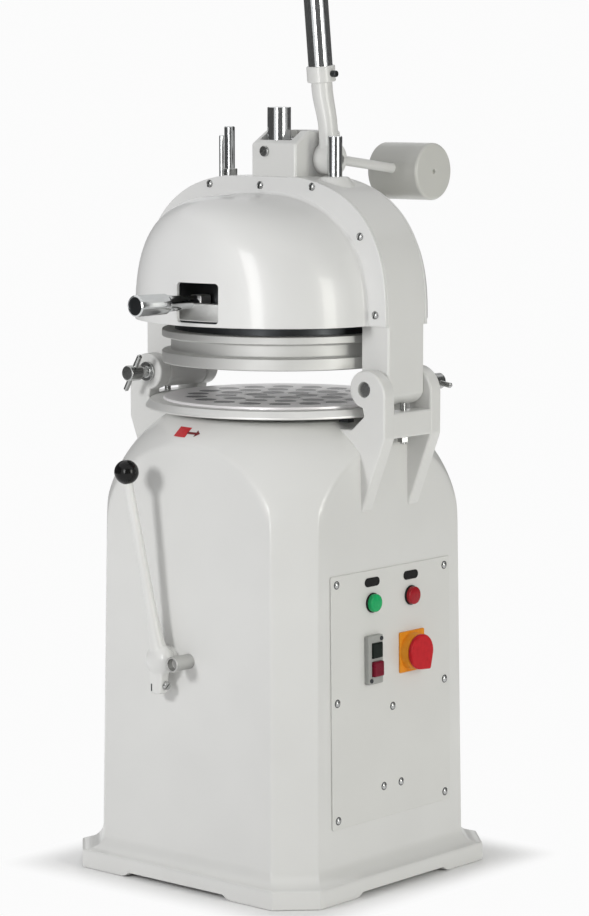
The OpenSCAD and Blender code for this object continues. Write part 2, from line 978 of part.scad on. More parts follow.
module crank_head() {
  color("#8B8E90")
    difference() {
      translate([0, 0, crank_z]) cylinder(h = crank_head_high, r = crank_head_radius);
      translate([-far, -slider_wide / 2 - slider_fit, slider_z]) cube([2 * far, slider_wide + 2 * slider_fit, far]);
    }
}

module eccentric_slider() {
  color("#A9ABAE") {
    translate([-slider_long / 2, -slider_wide / 2, slider_z + slider_fit])
      cube([slider_long, slider_wide, slider_high - slider_fit]);
    translate([0, 0, slider_z + slider_fit])
      cylinder(h = plate_z - pin_skin - slider_z - slider_fit, r = slider_wide / 2);
    translate([0, 0, slider_top]) cylinder(h = plate_z - pin_skin - slider_top, r = eccentric_pin);
  }
}

module table_bearing() {
  color("#A9ABAE")
    translate([0, 0, table_z + table_bearing_inset])
      difference() {
        cylinder(h = table_thick - 2 * table_bearing_inset, r = table_bearing_radius);
        translate([0, 0, -over]) cylinder(h = table_thick + 2 * over, r = eccentric_pin + fit);
      }
}

module rounding_table() {
  color("#C7C8C9")
    difference() {
      translate([0, 0, table_z]) cylinder(h = table_thick, r = table_radius);
      translate([0, 0, table_z - over]) cylinder(h = table_thick + 2 * over, r = table_bearing_radius);
    }
}

module rounding_plate() {
  color("#D8D6CE")
    difference() {
      translate([0, 0, plate_z]) cylinder(h = plate_thick, r = plate_radius);
      for (row = [0:2])
        for (i = [0:field_counts[row] - 1])
          rotate([0, 0, 360 * (i + 0.5) / field_counts[row]])
            translate([field_middle[row], 0, plate_top - pocket_depth])
              cylinder(h = pocket_depth + over, r = pocket_radius);
    }
}

module stop_block_piece() {
  color("#55575A")
    translate([stop_block_x - stop_block.x / 2, stop_block_y - stop_block.y / 2, table_z - stop_block.z])
      cube(stop_block);
}

module adjusting_screws() {
  color("#9A9C9E")
    for (side = [-1, 1])
      translate([side * (pin_reach + adjust_step), 0, shelf_low - adjust_low]) {
        cylinder(h = pin_z - adjust_drop - shelf_low + adjust_low, r = adjust_radius);
        translate([0, 0, adjust_low - nut_high]) cylinder(h = nut_high, r = adjust_nut, $fn = 6);
      }
}

// A swing pin with a tee bar, lying along Y with its bar in front
module tee_screw(lean) {
  collar_y = -ear_out - pass;
  neck_y = collar_y - tee_collar_long;
  hub_y = neck_y - tee_neck_long;
  bar_y = hub_y - tee_hub_long / 2;
  along_y(collar_y, ear_out - tee_short, pin_radius);
  along_y(neck_y, collar_y, tee_collar);
  along_y(hub_y, neck_y, tee_neck);
  along_y(hub_y - tee_hub_long, hub_y, tee_hub);
  translate([0, bar_y, 0])
    rotate([0, lean, 0]) {
      translate([0, 0, -tee_bar_long / 2]) cylinder(h = tee_bar_long, r = tee_bar);
    }
}

module left_tee_screw() {
  color("#C9CACA") translate([-pin_reach, 0, pin_z]) tee_screw(tee_lean);
}

module right_tee_screw() {
  color("#C9CACA") translate([pin_reach, 0, pin_z]) rotate([0, 0, 180]) tee_screw(right_tee_lean);
}

module lever_arm() {
  front = -lever_face - lever_boss_long - lever_gap;
  middle = front - lever_hub_long / 2;
  tip = [-ball_reach * sin(ball_lean), middle - ball_out, ball_reach * cos(ball_lean)];
  lug = [lug_reach * sin(lug_angle), middle, -lug_reach * cos(lug_angle)];
  color("#D9D9D6")
    translate([-lever_side, 0, lever_height])
      difference() {
        union() {
          along_y(front - lever_hub_long, front, lever_hub);
          bar([0, middle, 0], tip, lever_bar_root, lever_bar_tip);
          bar([0, middle, 0], lug, lug_bar, lug_bar);
          translate([lug.x, 0, lug.z]) along_y(front - lever_hub_long, front, lug_radius);
        }
        along_y(front - lever_hub_long - over, front + over, crank_radius);
        translate(tip) rotate([90, 0, 0]) sphere(r = ball_radius);
        translate(lug) along_x(lug_radius - clamp_flat, lug_radius + over, clamp_radius + fit);
      }
}

module ball_knob() {
  middle = -lever_face - lever_boss_long - lever_gap - lever_hub_long / 2;
  color("#1C1C1C")
    translate([-lever_side - ball_reach * sin(ball_lean), middle - ball_out, lever_height + ball_reach * cos(ball_lean)])
      sphere(r = ball_radius);
}

module lever_shaft() {
  color("#A9ABAE")
    translate([-lever_side, 0, lever_height])
      along_y(-lever_face - lever_boss_long - lever_gap - lever_hub_long, -lever_face + shaft_inside, crank_radius);
}

module clamp_screw() {
  middle = -lever_face - lever_boss_long - lever_gap - lever_hub_long / 2;
  color("#8A8C8E")
    translate([lug_reach * sin(lug_angle) - lever_side, middle, lever_height - lug_reach * cos(lug_angle)])
      along_x(lug_radius - clamp_flat, lug_radius + clamp_high, clamp_radius);
}

module crank_arm() {
  end = -lever_face + shaft_inside;
  color("#7B7E80")
    translate([-lever_side, end, lever_height])
      rotate([90, 0, 0])
        difference() {
          loop_block(crank_hub, crank_eye, crank_reach, crank_thick);
          translate([0, 0, -over]) {
            cylinder(h = crank_thick + 2 * over, r = crank_radius);
            translate([crank_reach, 0, 0]) cylinder(h = crank_thick + 2 * over, r = crank_hole);
          }
        }
}

// Outline of the yoke's arch, and of the space under the covers
module arch_outline() {
  cut = head_height / arch_height;
  right = [for (i = [0:arch_steps]) let (share = cut * sin(90 * i / arch_steps)) [arch_x(share), rim_z + arch_height * share]];
  left = [for (i = [arch_steps:-1:0]) [-right[i].x, right[i].y]];
  polygon(concat(right, left));
}

module dome_outline(inset, low) {
  tall = dome_height - inset;
  right = [for (i = [0:arch_steps]) let (share = sin(90 * i / arch_steps)) [dome_x(share, inset), rim_z + tall * share]];
  left = [for (i = [arch_steps - 1:-1:0]) [-right[i].x, right[i].y]];
  polygon(concat([[dome_half - inset, rim_z - low]], right, left, [[inset - dome_half, rim_z - low]]));
}

module yoke_leg() {
  translate([pin_reach - leg_over, -leg_half, pin_z]) cube([2 * leg_over, 2 * leg_half, rim_z - pin_z + leg_lap]);
  translate([pin_reach, 0, pin_z]) along_y(-leg_half, leg_half, boss_radius);
  translate([lock_radius - lock_pad_lap, -lock_pad_half, rim_z])
    cube([dome_half - lock_radius + lock_pad_lap, 2 * lock_pad_half, lock_seat - pass]);
}

module guide_bores(low, high) {
  translate([0, -plunger_front, low]) cylinder(h = high - low, r = plunger_radius + fit);
  translate([guide_reach, 0, low]) cylinder(h = high - low, r = right_guide + fit);
  translate([-guide_reach, 0, low]) cylinder(h = high - low, r = left_guide + fit);
  translate([-thin_side, -thin_front, low]) cylinder(h = high - low, r = thin_guide + fit);
}

module head_yoke() {
  color("#DCDCDA")
    difference() {
      union() {
        difference() {
          slab_y(-yoke_depth / 2, yoke_depth / 2) arch_outline();
          slab_y(-far, far) dome_outline(shell, over);
        }
        yoke_leg();
        mirror([1, 0, 0]) yoke_leg();
      }
      translate([pin_reach, 0, pin_z]) along_y(-far, far, pin_radius + fit);
      translate([-pin_reach, 0, pin_z]) along_y(-far, far, pin_radius + seat_fit);
      translate([-pin_reach - pin_radius - slot_slack, -far, pin_z - 2 * boss_radius])
        cube([2 * (pin_radius + slot_slack), 2 * far, 2 * boss_radius]);
      guide_bores(rim_z, head_top + over);
      translate([-guide_reach, 0, head_top - collar_low]) cylinder(h = collar_low + collar_high, r = collar_radius);
      translate([0, pivot_back, pivot_z]) along_x(-slot_left, slot_right, pinion_tip + pinion_room);
    }
}

// One cover's shell, in front of its flange, as rows of points outside and inside
module dome_shell() {
  cap_share = 0.995;
  row = dome_turns + 1;
  size = (dome_levels + 1) * row;
  points = [
    for (inset = [0, shell])
      for (i = [0:dome_levels])
        let (share = cap_share * sin(90 * i / dome_levels))
          for (j = [0:dome_turns])
            [
              -dome_x(share, inset) * cos(180 * j / dome_turns),
              -yoke_depth / 2 - dome_y(share, inset) * sin(180 * j / dome_turns),
              rim_z + (dome_height - inset) * share
            ]
  ];
  outer = [
    for (i = [0:dome_levels - 1])
      for (j = [0:dome_turns - 1])
        let (a = i * row + j)
          each [[a, a + row, a + row + 1], [a, a + row + 1, a + 1]]
  ];
  inner = [for (face = outer) [size + face[0], size + face[2], size + face[1]]];
  rim = [for (j = [0:dome_turns - 1]) each [[j, j + 1, size + j + 1], [j, size + j + 1, size + j]]];
  left = [for (i = [0:dome_levels - 1]) let (a = i * row) each [[a, size + a, size + a + row], [a, size + a + row, a + row]]];
  right = [
    for (i = [0:dome_levels - 1])
      let (a = i * row + dome_turns)
        each [[a, a + row, size + a + row], [a, size + a + row, size + a]]
  ];
  top = dome_levels * row;
  outer_cap = [[for (j = [0:dome_turns]) top + dome_turns - j]];
  inner_cap = [[for (j = [0:dome_turns]) size + top + j]];
  back = [[top, size + top, size + top + dome_turns], [top, size + top + dome_turns, top + dome_turns]];
  polyhedron(points = points, faces = concat(outer, inner, rim, left, right, outer_cap, inner_cap, back));
}

module cover() {
  dome_shell();
  difference() {
    slab_y(-flange_y, -yoke_depth / 2) arch_outline();
    slab_y(-far, far) dome_outline(shell / 2, over);
  }
}

module front_cover() {
  reach = 2 * dome_depth;
  color("#E2E2E0")
    difference() {
      cover();
      translate([0, 0, rim_z + window_low])
        linear_extrude(height = window_height)
          polygon([
            [0, 0], [reach * sin(window_left), -reach * cos(window_left)],
            [reach * sin(window_right), -reach * cos(window_right)]
          ]);
    }
}

module rear_cover() {
  color("#E2E2E0")
    difference() {
      mirror([0, 1, 0]) cover();
      translate([0, pivot_back, pivot_z]) along_x(-slot_left, slot_right, pinion_tip + pinion_room);
    }
}

module cover_screws() {
  color("#B9BAB8")
    for (place = screw_shares)
      translate([place.x * arch_half, 0, rim_z + place.y * head_height]) {
        along_y(-flange_y - screw_high, -flange_y, screw_head);
        along_y(flange_y, flange_y + screw_high, screw_head);
      }
}

module rack_block() {
  color("#D2D3D1")
    difference() {
      translate([-block_left, 0, head_top])
        rotate([90, 0, 90])
          linear_extrude(height = block_left + block_right)
            polygon([
              [-block_front, 0], [block_back, 0], [block_back, block_high], [slope_run - block_front, block_high],
              [-block_front, block_low]
            ]);
      translate([0, -plunger_front, head_top - over]) cylinder(h = block_high + 2 * over, r = plunger_radius + pass);
      translate([-slot_left, -plunger_front, head_top - over])
        cube([slot_left + slot_right, pivot_back + pinion_tip + pinion_room + plunger_front, block_high + 2 * over]);
      translate([0, pivot_back, pivot_z]) along_x(-block_left - over, block_right + over, bush_radius);
    }
}

module block_plug() {
  color("#8A8C8E")
    translate([-plug_side, 0, head_top + block_low - plug_drop])
      along_y(-block_front - plug_high, -block_front, plug_radius);
}

module guide_collar() {
  color("#C9CACA")
    translate([-guide_reach, 0, head_top - collar_low])
      difference() {
        cylinder(h = collar_low + collar_high, r = collar_radius);
        translate([0, 0, -over]) cylinder(h = collar_low + collar_high + 2 * over, r = left_guide + fit);
      }
}

module pinion_bushes() {
  color("#B08D57")
    translate([0, pivot_back, pivot_z])
      for (ends = [[-block_left, -slot_left], [slot_right, block_right]])
        difference() {
          along_x(ends[0], ends[1], bush_radius);
          along_x(ends[0] - over, ends[1] + over, pinion_shaft_radius + fit);
        }
}

// Places children on the lever, with Z along the lever and the pivot as the origin
module on_lever(x, along) {
  translate([x, pivot_back, pivot_z]) rotate([lever_lean, 0, 0]) translate([0, 0, along]) children();
}

module press_arm() {
  color("#C4C6C7")
    difference() {
      union() {
        translate([0, pivot_back, pivot_z]) along_x(hub_start, hub_end, hub_radius);
        on_lever(0, 0) {
          bar([arm_x, 0, 0], [arm_x, 0, set_start], arm_radius, arm_radius);
          translate([arm_x, 0, set_start]) sphere(r = arm_radius);
          bar([arm_x, 0, set_start], [tube_x, 0, set_end], arm_radius, spigot_radius);
          translate([tube_x, 0, set_end]) sphere(r = spigot_radius);
          bar([tube_x, 0, set_end], [tube_x, 0, arm_end], spigot_radius, spigot_radius);
        }
      }
      translate([0, pivot_back, pivot_z]) along_x(hub_start - over, hub_end + over, pinion_shaft_radius);
      weight_bar(rod_radius);
    }
}

// The counterweight's rod, falling away behind the hub
module weight_bar(radius) {
  translate([rod_x, pivot_back, pivot_z])
    rotate([-weight_fall, 0, 0])
      along_y(rod_root, weight_reach - weight_radius + rod_sink, radius);
}

module weight_rod() {
  color("#BFC1C2") weight_bar(rod_radius);
}

module counterweight() {
  color("#B4B6B8")
    difference() {
      translate([rod_x, pivot_back, pivot_z])
        rotate([-weight_fall, 0, 0])
          translate([0, weight_reach, 0]) along_x(-weight_length / 2, weight_length / 2, weight_radius);
      weight_bar(rod_radius);
    }
}

module lever_collar() {
  color("#C4C6C7") {
    on_lever(tube_x, collar_start)
      difference() {
        cylinder(h = lever_collar_long, r = tube_radius + lever_collar_wall);
        translate([0, 0, -over]) cylinder(h = tube_start - collar_start + over, r = spigot_radius);
        translate([0, 0, tube_start - collar_start]) cylinder(h = lever_collar_long, r = tube_radius);
      }
    on_lever(tube_x, collar_start + lever_collar_long / 2)
      difference() {
        along_x(tube_radius, tube_radius + lever_collar_wall + collar_screw_long, collar_screw_radius);
        translate([0, 0, -lever_collar_long]) cylinder(h = 2 * lever_collar_long, r = tube_radius);
      }
  }
}

module lever_tube() {
  color("#D5D7D8")
    on_lever(tube_x, tube_start)
      difference() {
        cylinder(h = lever_length - tube_start, r = tube_radius);
        translate([0, 0, -over]) cylinder(h = lever_length, r = spigot_radius);
      }
}

module lever_grip() {
  color("#1C1C1C")
    on_lever(tube_x, lever_length - grip_long)
      difference() {
        cylinder(h = grip_long + grip_end, r = tube_radius + grip_wall);
        translate([0, 0, -over]) cylinder(h = grip_long + over, r = tube_radius);
      }
}

module pinion_shaft() {
  step = 360 / pinion_teeth;
  color("#9EA0A2")
    translate([0, pivot_back, pivot_z]) {
      along_x(-block_left, hub_end, pinion_shaft_radius);
      rotate([0, 90, 0])
        translate([0, 0, -pinion_half])
          linear_extrude(height = 2 * pinion_half)
            polygon([
              for (i = [0:pinion_teeth - 1])
                for (edge = [[-tooth_root_share, 0], [-tooth_tip_share, 1], [tooth_tip_share, 1], [tooth_root_share, 0]])
                  let (turn = (i + edge[0]) * step, reach = pinion_tip - tooth_deep * (1 - edge[1]))
                    [reach * cos(turn), reach * sin(turn)]
            ]);
    }
}

module plunger() {
  low = head_top - pinion_tip;
  top = head_top + plunger_rise;
  flat = rack_y;
  count = floor((top - low) / rack_pitch);
  color("#D5D7D8")
    difference() {
      translate([0, -plunger_front, ring_top]) cylinder(h = top - ring_top, r = plunger_radius);
      translate([-plunger_radius - over, flat, low])
        cube([2 * plunger_radius + 2 * over, far, top - low + over]);
      for (i = [0:count])
        translate([-plunger_radius - over, flat, low + rack_under + i * rack_pitch])
          rotate([90, 0, 90])
            linear_extrude(height = 2 * plunger_radius + 2 * over)
              polygon([
                [over, -rack_pitch * tooth_mouth_share], [0, -rack_pitch * tooth_root_share],
                [-tooth_deep, -rack_pitch * tooth_tip_share], [-tooth_deep, rack_pitch * tooth_tip_share],
                [0, rack_pitch * tooth_root_share], [over, rack_pitch * tooth_mouth_share]
              ]);
    }
}

module press_plate() {
  color("#8E9193")
    translate([0, 0, press_low]) cylinder(h = press_thick, r = ring_bore - press_fit);
}

module cutting_ring() {
  mid = ring_low + ring_mid;
  color("#C7C8C9")
    translate([0, 0, ring_z])
      difference() {
        union() {
          cylinder(h = ring_low, r = ring_radius);
          cylinder(h = mid, r = ring_waist);
          translate([0, 0, mid]) cylinder(h = ring_high, r = ring_radius);
        }
        translate([0, 0, -over]) cylinder(h = mid + ring_high + 2 * over, r = ring_bore);
      }
}

module press_drum() {
  color("#3A3C3E")
    translate([0, 0, ring_top])
      difference() {
        cylinder(h = drum_height, r = drum_radius);
        translate([0, 0, -over]) cylinder(h = drum_height + 2 * over, r = drum_radius - drum_wall);
      }
}

module guide_rods() {
  color("#D5D7D8") {
    translate([guide_reach, 0, ring_top]) cylinder(h = head_top + right_rise - ring_top, r = right_guide);
    difference() {
      translate([-guide_reach, 0, ring_top]) cylinder(h = head_top + left_rise - ring_top, r = left_guide);
      translate([-guide_reach - far, -slot_wide / 2, head_top + left_rise - slot_deep])
        cube([2 * far, slot_wide, slot_deep + over]);
    }
    translate([-thin_side, -thin_front, ring_top])
      cylinder(h = head_top + thin_rise - ring_top, r = thin_guide);
  }
}

// A radial slot or blade between two radii of one row of fields
module spoke(row, width, high) {
  for (i = [0:field_counts[row] - 1])
    rotate([0, 0, 360 * i / field_counts[row]])
      translate([field_inner[row], -width / 2, 0]) cube([field_outer[row] - field_inner[row], width, high]);
}

module press_pads() {
  color("#DAD9D2") {
    difference() {
      translate([0, 0, pad_z]) cylinder(h = pad_thick, r = knife_radius - pad_margin);
      translate([0, 0, pad_z - over]) {
        for (row = [0:2]) spoke(row, pad_slot, pad_thick + 2 * over);
        for (radius = [inner_blade, middle_blade])
          difference() {
            cylinder(h = pad_thick + 2 * over, r = radius + pad_slot / 2);
            translate([0, 0, -over]) cylinder(h = pad_thick + 4 * over, r = radius - pad_slot / 2);
          }
      }
    }
    for (row = [0:2])
      for (i = [0:field_counts[row] - 1])
        rotate([0, 0, 360 * (i + 0.5) / field_counts[row]])
          translate([field_middle[row], 0, pad_z + pad_thick - over])
            cylinder(h = press_low - pad_z - pad_thick + over, r = post_radius);
  }
}

module knife_grid() {
  blade_high = carrier_z - blade_low + blade_set;
  color("#C2C4C6")
    difference() {
      union() {
        translate([0, 0, carrier_z]) cylinder(h = carrier_thick, r = knife_radius);
        translate([0, 0, blade_low]) {
          cylinder(h = blade_high, r = knife_hub);
          for (row = [0:2]) spoke(row, blade, blade_high);
          for (radius = [inner_blade, middle_blade])
            difference() {
              cylinder(h = blade_high, r = radius + blade / 2);
              translate([0, 0, -over]) cylinder(h = blade_high + 2 * over, r = radius - blade / 2);
            }
        }
      }
      for (row = [0:2])
        for (i = [0:field_counts[row] - 1])
          rotate([0, 0, 360 * (i + 0.5) / field_counts[row]])
            translate([field_middle[row], 0, carrier_z - over])
              cylinder(h = carrier_thick + 2 * over, r = post_radius + post_fit);
    }
}

// Places children on the lock ring's level, turned to the handle's rest angle
module on_lock() {
  rotate([0, 0, lock_angle]) translate([0, 0, rim_z + lock_rise]) children();
}

module lock_ring() {
  color("#9EA0A2")
    difference() {
      union() {
        translate([0, 0, rim_z + lock_seat]) cylinder(h = lock_height, r = lock_radius);
        rotate([0, 0, lock_angle])
          translate([-lock_lug, -lock_radius, rim_z + lock_seat])
            cube([2 * lock_lug, lock_radius - lock_bore, lock_rise + lock_lug_over - lock_seat]);
      }
      translate([0, 0, rim_z - over]) cylinder(h = far, r = lock_bore);
      on_lock() along_y(-lock_radius - over, lock_root - lock_radius, lock_rod);
    }
}

module lock_handle() {
  color("#1C1C1C")
    on_lock() {
      along_y(-lock_reach + lock_knob_long, lock_root - lock_radius, lock_rod);
      translate([0, -lock_reach, 0])
        rotate([-90, 0, 0]) cylinder(h = lock_knob_long, r1 = lock_knob, r2 = lock_grip);
    }
}

pedestal();
side_brackets();
control_panel();
panel_screws();
green_lamp();
red_lamp();
label_tags();
switch_case();
switch_plate();
stop_pin();
lever_bush();
bearing_housing();
shaft_bearings();
motor();
motor_mount();
v_belt();
adjusting_screws();
main_shaft();
crank_head();
main_pulley();
eccentric_slider();
rounding_table();
table_bearing();
rounding_plate();
stop_block_piece();
motor_pulley();
lever_arm();
ball_knob();
lever_shaft();
clamp_screw();
crank_arm();
left_tee_screw();
right_tee_screw();
head_yoke();
front_cover();
rear_cover();
cover_screws();
rack_block();
block_plug();
guide_collar();
pinion_bushes();
press_arm();
lever_collar();
lever_tube();
lever_grip();
weight_rod();
counterweight();
pinion_shaft();
plunger();
press_plate();
cutting_ring();
press_drum();
guide_rods();
press_pads();
knife_grid();
lock_ring();
lock_handle();
start_button();
stop_button();
switch_handle();
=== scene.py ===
"""A floor-standing dough divider rounder: cast stand, rounding table, swinging head, press, hand levers."""
import math

import bmesh
import bpy
import numpy as np
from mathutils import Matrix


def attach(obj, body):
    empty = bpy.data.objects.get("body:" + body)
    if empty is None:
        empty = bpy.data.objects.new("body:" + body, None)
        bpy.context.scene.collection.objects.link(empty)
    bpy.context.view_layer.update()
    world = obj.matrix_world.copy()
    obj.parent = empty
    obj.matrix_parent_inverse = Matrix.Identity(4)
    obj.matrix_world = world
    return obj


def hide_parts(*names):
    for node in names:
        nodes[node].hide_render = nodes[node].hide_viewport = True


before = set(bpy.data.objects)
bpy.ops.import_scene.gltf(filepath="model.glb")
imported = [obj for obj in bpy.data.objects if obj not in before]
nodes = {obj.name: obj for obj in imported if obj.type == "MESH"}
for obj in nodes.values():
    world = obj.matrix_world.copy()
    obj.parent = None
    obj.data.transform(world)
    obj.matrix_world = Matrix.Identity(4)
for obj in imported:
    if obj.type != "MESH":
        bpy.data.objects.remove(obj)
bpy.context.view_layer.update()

# Cast stand
# A hollow grey-iron casting with a moulded foot, a tapering eight-sided column and a turned shoulder.
# It is filled, sanded and sprayed with white enamel, so all its edges are soft.


def linear(colour):
    """The linear RGBA of an sRGB hex colour."""
    share = np.array([int(colour[i:i + 2], 16) for i in (1, 3, 5)]) / 255
    light = np.where(share <= 0.04045, share / 12.92, ((share + 0.055) / 1.055) ** 2.4)
    return (*light.tolist(), 1.0)


def put(finish, kind, inputs, **settings):
    """Adds one shader node. inputs gives each socket's value, or the socket that it is linked from."""
    tree = finish.node_tree
    made = tree.nodes.new(kind)
    for name, value in settings.items():
        setattr(made, name, value)
    for name, value in inputs.items():
        if isinstance(value, bpy.types.NodeSocket):
            tree.links.new(value, made.inputs[name])
        else:
            made.inputs[name].default_value = value
    return made


def new_finish(name, values):
    """A new material, its surface shader with the given values, and the Object coordinates in metres."""
    finish = bpy.data.materials.new(name)
    finish.use_nodes = True
    shader = finish.node_tree.nodes["Principled BSDF"]
    for socket, value in dict(values).items():
        shader.inputs[socket].default_value = value
    place = put(finish, "ShaderNodeTexCoord", {}).outputs["Object"]
    return finish, shader, place


def mottled(name, colours, patch, gloss, values=()):
    """A material between two shades and two values of roughness, in soft patches of a given size in mm."""
    finish, shader, place = new_finish(name, values)
    noise = put(finish, "ShaderNodeTexNoise", {"Vector": place, "Scale": 1000 / patch, "Detail": 1.0})
    cloud = noise.outputs["Fac"]
    shades = {"Factor": cloud, "A": linear(colours[0]), "B": linear(colours[1])}
    blend = put(finish, "ShaderNodeMix", shades, data_type="RGBA")
    rough = put(finish, "ShaderNodeMapRange", {"Value": cloud, "To Min": gloss[0], "To Max": gloss[1]})
    finish.node_tree.links.new(blend.outputs["Result"], shader.inputs["Base Color"])
    finish.node_tree.links.new(rough.outputs["Result"], shader.inputs["Roughness"])
    return finish, shader, place


def grained(finish, shader, place, grain, depth, stretch=(1, 1, 1)):
    """A material roughened with grains of a given size and depth in mm, stretched along the axes."""
    space = put(finish, "ShaderNodeMapping", {"Vector": place, "Scale": stretch}).outputs["Vector"]
    noise = put(finish, "ShaderNodeTexNoise", {"Vector": space, "Scale": 1000 / grain, "Detail": 2.0})
    relief = {"Height": noise.outputs["Fac"], "Distance": depth / 1000, "Strength": 1.0}
    bump = put(finish, "ShaderNodeBump", relief)
    finish.node_tree.links.new(bump.outputs["Normal"], shader.inputs["Normal"])
    return finish


def enamel(name, colours):
    """Sprayed white enamel: clear gloss over a faint orange peel, drawn 4 mm wide so that it shows."""
    lacquer = {"IOR": 1.5, "Coat Weight": 0.3, "Coat Roughness": 0.1}
    return grained(*mottled(name, colours, 140, (0.32, 0.42), lacquer), 4.0, 0.008)


def shell(points, around=True, along=False, ends=True):
    """The faces of a grid of points, closed round its columns, round its rows, or by a face at each end."""
    rows, columns = points.shape[:2]
    index = np.arange(rows * columns).reshape(rows, columns)
    caps = [] if along or not ends else [index[0].tolist(), index[-1].tolist()]
    if around:
        index = np.hstack([index, index[:, :1]])
    if along:
        index = np.vstack([index, index[:1]])
    quads = np.stack([index[:-1, :-1], index[:-1, 1:], index[1:, 1:], index[1:, :-1]], axis=-1)
    return points.reshape(-1, 3), quads.reshape(-1, 4).tolist() + caps


def eased(mesh):
    """Shades a mesh smooth, apart from the edges that turn by more than a crease angle."""
    crease = math.radians(34)
    mesh.shade_smooth()
    mesh.set_sharp_from_angle(angle=crease)


def shape(name, shells):
    """A mesh object from shells in mm: joined, doubled points merged, faces turned outwards, edges eased."""
    points = np.vstack([vertices for vertices, faces in shells]) / 1000
    starts = np.cumsum([0] + [len(vertices) for vertices, faces in shells])
    faces = [[int(start) + i for i in face] for start, part in zip(starts, shells) for face in part[1]]
    mesh = bpy.data.meshes.new(name)
    mesh.from_pydata(points.tolist(), [], faces)
    work = bmesh.new()
    work.from_mesh(mesh)
    bmesh.ops.remove_doubles(work, verts=work.verts, dist=2e-6)
    bmesh.ops.recalc_face_normals(work, faces=work.faces)
    work.to_mesh(mesh)
    work.free()
    made = bpy.data.objects.new(name, mesh)
    bpy.context.scene.collection.objects.link(made)
    eased(mesh)
    return made


def cut_away(made, shells):
    """Takes closed shells out of a shape, as a drill or a milling cutter would."""
    cutter = shape("cutter", shells)
    step = made.modifiers.new("cut", "BOOLEAN")
    step.object = cutter
    step.operation = "DIFFERENCE"
    step.solver = "EXACT"
    seen = made.evaluated_get(bpy.context.evaluated_depsgraph_get())
    mesh = bpy.data.meshes.new_from_object(seen)
    made.modifiers.clear()
    made.data = mesh
    bpy.data.objects.remove(cutter)
    eased(mesh)


def fix(made, body, finish, slot, *replaced):
    """Gives a shape its finish, its body and the solids it stands for; large faces lead its normals."""
    made.data.materials.clear()
    made.data.materials.append(finish)
    weigh = made.modifiers.new("flat faces", "WEIGHTED_NORMAL")
    weigh.keep_sharp = True
    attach(made, body)
    if replaced:
        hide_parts(*replaced)


def piece(name, shells, body, finish, slot, *replaced, cut=()):
    """A finished piece: the shape of its shells, less those that are cut from it, fixed to its body."""
    made = shape(name, shells)
    if cut:
        cut_away(made, cut)
    fix(made, body, finish, slot, *replaced)


foot_half, foot_corner, foot_height, foot_round = 300, 62, 36, 5
cove_height, cove_step = 30, 4
column_half, column_corner, column_round = 271.2, 60.6, 7
stand_top, top_reach, top_drop, top_round = 860, 240, 1.2, 4
roof, wall, wall_round, wall_low = 14, 12, 6, 20
mouth_share, lip_share, lip_low = 0.29, 0.8, 10
shoulder_z, shoulder_centre, shoulder_radius = 640, 80, 254
shoulder_blend, shoulder_fade = 4, 60
gap_half, gap_ramp, gap_rise, skirt_low, skirt_squeeze = 132, 14, 9, 20, 0.4
draft = math.radians(0.732)


def face_at(z):
    """Half width of the column at a height: it leans in by the casting's draft."""
    return column_half - z * math.tan(draft)


def shoulder_at(z):
    """Radius of the turned shoulder at a height: a quarter circle set out from the axis."""
    rise = np.clip(z - shoulder_z, 0, shoulder_radius)
    return shoulder_centre + np.sqrt(shoulder_radius ** 2 - rise ** 2)


def eight_sided(half, corner, z, round_edge):
    """Outlines of the column, a row for each height: an eight-sided ring shrunk by a radius and rolled round.

    Each corner of the shrunk ring is the centre of an arc over 45 degrees, and straight points join the arcs.
    """
    arc_points, side_points = 5, 43
    side, eighth = np.arange(8), math.radians(45)
    slanted = (2 * half - corner) / math.sqrt(2) - round_edge
    flat = np.where(side % 2 == 0, (half - round_edge)[:, None], slanted[:, None])
    following = np.roll(flat, -1, axis=1)
    first, second = eighth * side, eighth * (side + 1)
    middle_x = (flat * np.sin(second) - following * np.sin(first)) / math.sin(eighth)
    middle_y = (following * np.cos(first) - flat * np.cos(second)) / math.sin(eighth)
    turn = eighth * (side[:, None] + np.linspace(0, 1, arc_points))
    ring = np.stack([np.cos(turn), np.sin(turn)], axis=-1)
    arcs = np.stack([middle_x, middle_y], axis=-1)[:, :, None] + round_edge[:, None, None, None] * ring
    last, ahead = arcs[:, :, -1:], np.roll(arcs[:, :, :1], -1, axis=1)
    share = np.linspace(0, 1, side_points + 2)[1:-1, None]
    outline = np.concatenate([arcs, last + share * (ahead - last)], axis=2).reshape(len(half), -1, 2)
    level = np.broadcast_to(np.reshape(z, (-1, 1, 1)), outline.shape[:2] + (1,))
    return np.concatenate([outline, level], axis=-1)


def under_shoulder(points, inset):
    """Draws a ring in to the shoulder's radius where it is wider, by a soft join that fades in from below."""
    reach, z = np.hypot(points[..., 0], points[..., 1]), points[..., 2]
    limit = shoulder_at(z) - inset
    share = np.clip(0.5 + 0.5 * (limit - reach) / shoulder_blend, 0, 1)
    drawn = limit + (reach - limit) * share - shoulder_blend * share * (1 - share)
    fade = np.clip((z - shoulder_z + shoulder_fade) / shoulder_fade, 0, 1)
    scale = 1 + fade * (drawn / reach - 1)
    return points * np.stack([scale, scale, np.ones_like(scale)], axis=-1)


